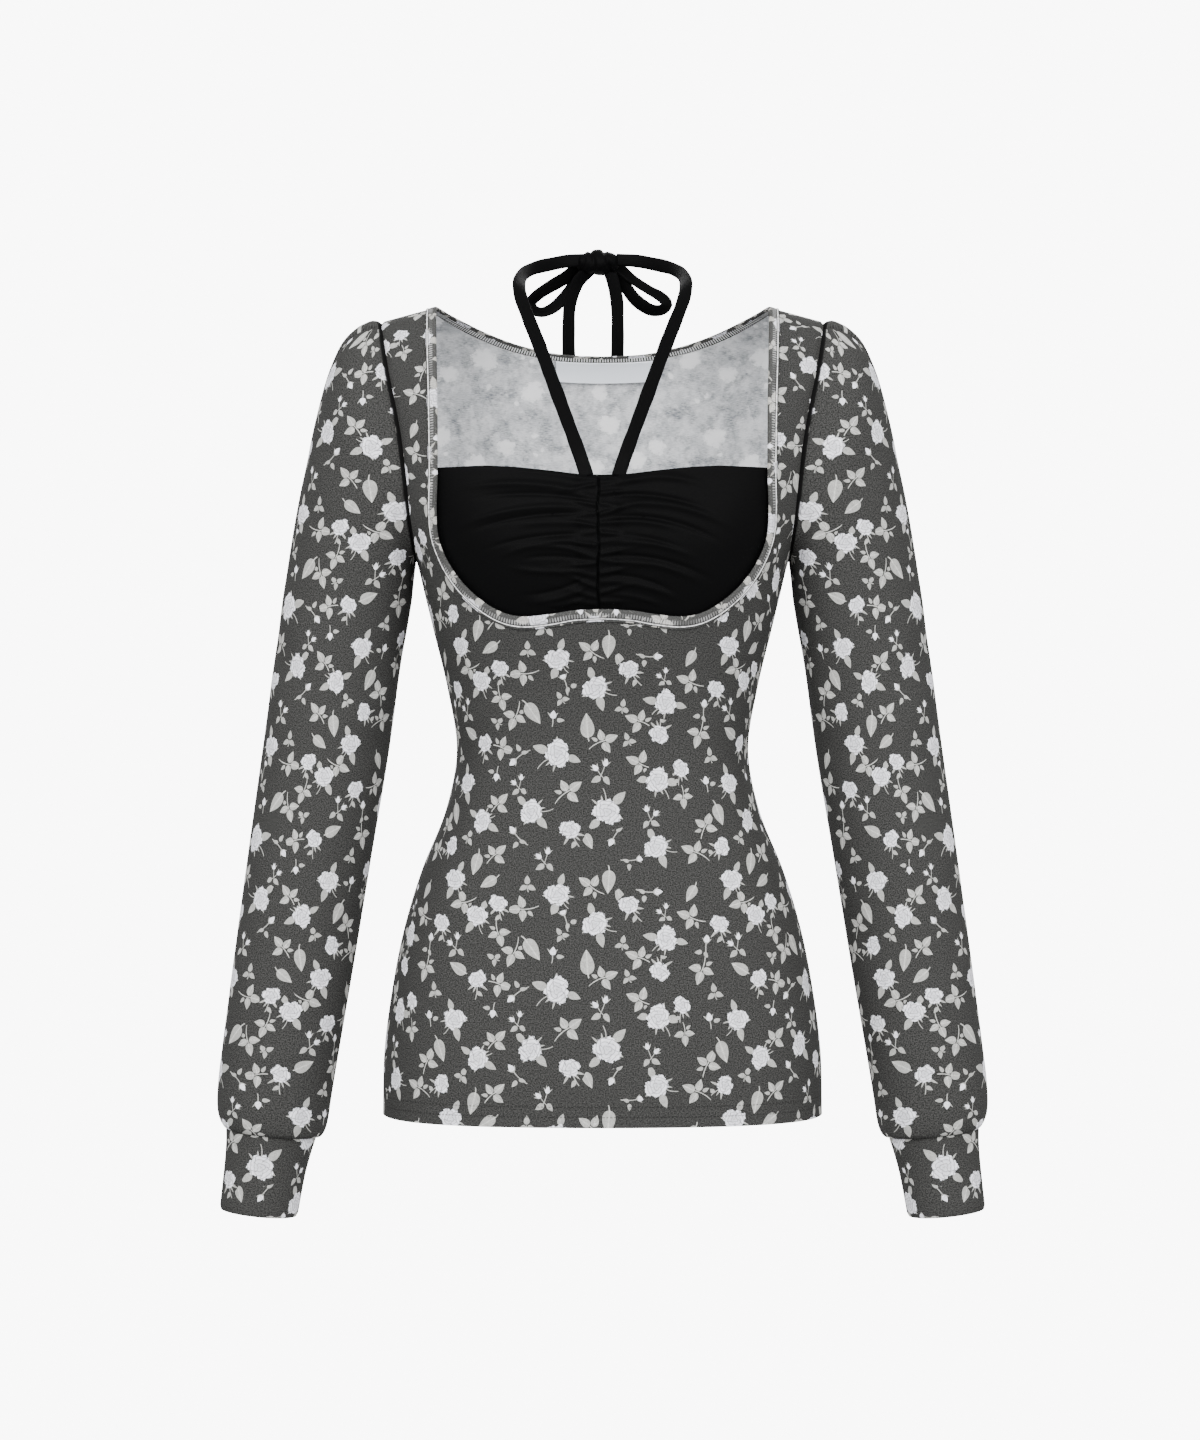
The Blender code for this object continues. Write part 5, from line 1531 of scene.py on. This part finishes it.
# short puckers between the centre seam and each stitch row: height, side, strength and slant
puckers = (
    (-126.0, -1, 1.0, 0.1), (-131.0, -1, 1.6, -0.2), (-138.5, -1, 0.8, 0.1), (-143.5, -1, 1.7, 0.2),
    (-150.5, -1, 1.1, -0.1), (-158.0, -1, 1.6, 0.2), (-163.5, -1, 0.9, -0.2), (-171.5, -1, 1.7, 0.1),
    (-179.5, -1, 1.2, 0.3), (-185.0, -1, 1.6, -0.1), (-192.5, -1, 1.0, 0.2), (-199.0, -1, 1.6, 0.4),
    (-206.5, -1, 1.2, 0.3), (-211.5, -1, 0.9, 0.1),
    (-125.5, 1, 1.4, -0.1), (-130.5, 1, 0.9, 0.2), (-136.0, 1, 1.7, 0.1), (-144.0, 1, 1.0, -0.2),
    (-149.5, 1, 1.6, 0.3), (-156.5, 1, 1.3, 0.1), (-164.0, 1, 1.7, -0.1), (-169.5, 1, 0.8, 0.2),
    (-177.5, 1, 1.5, 0.2), (-183.0, 1, 1.1, -0.1), (-190.5, 1, 1.7, 0.2), (-197.0, 1, 1.0, 0.1),
    (-203.5, 1, 1.5, 0.3), (-210.5, 1, 1.1, 0.0),
)


def bandeauHalf(side, finish):
    # the panel under the torso surface, raised by its folds and sunk along the centre seam and the stitch row
    fine = dict(frontNeck, below=160, above=160)
    angle, level = besideEdge(fine, bandeauShape["tuck"], 0.0).T
    edge = torso(angle, level, -1)
    edge = edge[edge[:, 2] < bandeauTop[-1][1]]
    edge = edge[: edge[:, 0].argmax() + 1]
    seam = bandeauShape["seam"]
    share = np.linspace(0, 1, bandeauShape["columns"] + 1) ** bandeauShape["crowd"]
    x = (seam - side * 0.5) * (1 - share) + side * edge[-1, 0] * share
    topPoints = np.array(bandeauTop)
    top = np.interp(np.abs(x), topPoints[:, 0], topPoints[:, 1])
    bottom = np.interp(np.abs(x), edge[:, 0], edge[:, 2])
    down = np.linspace(0, 1, bandeauShape["rows"] + 1)[:, None]
    height = top * (1 - down) + bottom * down
    level = levelAt(height)
    halfWidth = smoothRows(torsoRows, level)[..., 1]
    angle = angleAt(np.abs(x) / halfWidth) * np.sign(x)
    xs = np.broadcast_to(x, height.shape)
    away = (xs - seam) * side
    rowAt = bandeauShape["casing"]
    raised = creases(xs, height, bandeauFolds) * smoothStep(away, 1.0, rowAt)
    inCasing = smoothStep(away, -0.4, 2.4) * (smoothStep(rowAt + 4.0 - away, -2.0, 5.0) * 0.75 + 0.25 * (away < 40))
    inCasing = inCasing * smoothStep(44.0 - away, 0.0, 26.0)
    for spot, which, strength, slant in puckers:
        if which != side:
            continue
        lean = height - spot - slant * (away - 6.0)
        raised = raised + strength * np.exp(-((lean / bandeauShape["pucker"]) ** 2)) * inCasing
    waver = 0.5 * np.sin(height / 7.3) + 0.3 * np.sin(height / 3.1 + 1)
    for distance, groove in ((xs - seam - waver, "centreGroove"), (away - rowAt, "rowGroove")):
        depth, width = bandeauShape[groove]
        raised = raised - depth * np.exp(-((distance / width) ** 2))
    ends = smoothStep(down, 0.0, 0.03) * smoothStep(1 - down, 0.0, 0.05) * smoothStep(1 - share, 0.0, 0.1)[None]
    depth = bandeauShape["depth"] - raised * ends
    normal = torsoNormal(angle, level, -1)
    outer = torso(angle, level, -1) - normal * depth[..., None]
    uvGrid = np.stack([xs, height], axis=-1)
    word = "Right" if side > 0 else "Left"
    made = gridShell(
        "bandeau" + word, outer, outer - normal * wallOf["bandeau"], uvGrid, [finish, finish], flip=side > 0
    )
    settle(made, "bandeau_" + word.lower())
    index = np.arange(outer.shape[0] * outer.shape[1]).reshape(outer.shape[:2])
    area = sheetArea(outer.reshape(-1, 3), quadsOf(index))
    print(made.name, "area", round(area, 5))


for side in (-1, 1):
    bandeauHalf(side, finishes["jersey"])

# sizes, its place beside the centre and over the binding's edge, its space off the back, and its curl at the foot
labelShape = {"width": 70.0, "height": 13.4, "x": 1.6, "drop": -1.2, "space": 0.3, "curl": 0.8, "ends": 0.5}


def backLabel(name, finish):
    # blank strip laid on the inside of the back, just under its binding
    seam = besideEdge(dict(backNeck, below=60), 1.0, 0.45)
    x = np.linspace(-0.5, 0.5, 37) * labelShape["width"] + labelShape["x"]
    points = torso(seam[:, 0], seam[:, 1], 1)
    topLevel = np.interp(np.abs(x), points[:, 0], seam[:, 1])
    topHeight = np.interp(topLevel, levelSamples, heightSamples)
    down = np.linspace(0, 1, 9)[:, None]
    height = topHeight[None] - labelShape["drop"] - down * labelShape["height"]
    level = levelAt(height)
    angle = angleAt(np.abs(x) / smoothRows(torsoRows, level)[..., 1]) * np.sign(x)
    normal = torsoNormal(angle, level, 1)
    base = torso(angle, level, 1) + (0, seamGap / 2, 0)
    ends = np.exp(-(((np.abs(x)[None] - labelShape["width"] / 2) / 5) ** 2))
    curl = labelShape["curl"] * down**2 + labelShape["ends"] * ends
    front = base - normal * (wallOf["knit"] + labelShape["space"] + wallOf["label"] + curl)[..., None]
    back = front + normal * wallOf["label"]
    uvGrid = np.stack(np.broadcast_arrays(x[None], -down * labelShape["height"]), axis=-1)
    made = gridShell(name, front, back, uvGrid, [finish, finish], flip=False)
    settle(made, "neck_label")


backLabel("backLabel", finishes["label"])
print("all cloth made")

stageLook = {"floor": -0.82, "radius": 7.0, "bend": 1.6, "top": 6.0, "colour": (1.0, 1.0, 1.0), "glow": 9.0}


def makeStage(look):
    # round floor that bends up into a wall on all sides, glowing evenly, and seen by the camera alone
    steps = np.linspace(0, math.pi / 2, 20)
    start = look["radius"] - look["bend"]
    radius = np.concatenate([[0.001, start * 0.5], start + look["bend"] * np.sin(steps), [look["radius"]]])
    height = np.concatenate([[0.0, 0.0], look["bend"] * (1 - np.cos(steps)), [look["top"]]]) + look["floor"]
    turn = np.linspace(0, 2 * math.pi, 64, endpoint=False)
    points = np.stack(
        np.broadcast_arrays(radius[:, None] * np.cos(turn), radius[:, None] * np.sin(turn), height[:, None]), axis=-1
    )
    index = np.arange(points.shape[0] * points.shape[1]).reshape(points.shape[:2])
    mesh = bpy.data.meshes.new("studio")
    mesh.from_pydata(points.reshape(-1, 3).tolist(), [], quadsOf(index, True)[:, ::-1].tolist())
    mesh.shade_smooth()
    made, shader, _ = newFinish("studio paper", look["colour"], 0.9)
    shader.inputs["Base Color"].default_value = (0.0, 0.0, 0.0, 1.0)
    shader.inputs["Emission Color"].default_value = (*look["colour"], 1.0)
    shader.inputs["Emission Strength"].default_value = look["glow"]
    mesh.materials.append(made)
    floor = bpy.data.objects.new("studio", mesh)
    for ray in ("diffuse", "glossy", "transmission", "shadow"):
        setattr(floor, "visible_" + ray, False)
    bpy.context.scene.collection.objects.link(floor)


# columns: name, place, aim, width, height, power
lightRows = (
    ("key", (-1.5, -2.8, 1.4), (0, 0, -0.25), 2.2, 2.2, 150.0),
    ("fill", (1.7, -2.8, 1.0), (0, 0, -0.3), 2.2, 2.2, 120.0),
    ("back", (0.0, 2.8, 1.2), (0, 0, -0.3), 3.0, 2.0, 150.0),
)
roomGlow = 1.1


def makeLights(rows):
    # area lamps that face their aims, in an evenly white room
    for name, place, aim, width, height, power in rows:
        lamp = bpy.data.lights.new(name, "AREA")
        lamp.shape = "RECTANGLE"
        lamp.size = width
        lamp.size_y = height
        lamp.energy = power
        made = bpy.data.objects.new(name, lamp)
        made.location = place
        made.rotation_mode = "QUATERNION"
        made.rotation_quaternion = (Vector(aim) - Vector(place)).to_track_quat("-Z", "Y")
        bpy.context.scene.collection.objects.link(made)
    world = bpy.data.worlds.new("room")
    world.use_nodes = True
    background = world.node_tree.nodes["Background"]
    background.inputs["Color"].default_value = (1.0, 1.0, 1.0, 1.0)
    background.inputs["Strength"].default_value = roomGlow
    bpy.context.scene.world = world


makeStage(stageLook)
makeLights(lightRows)
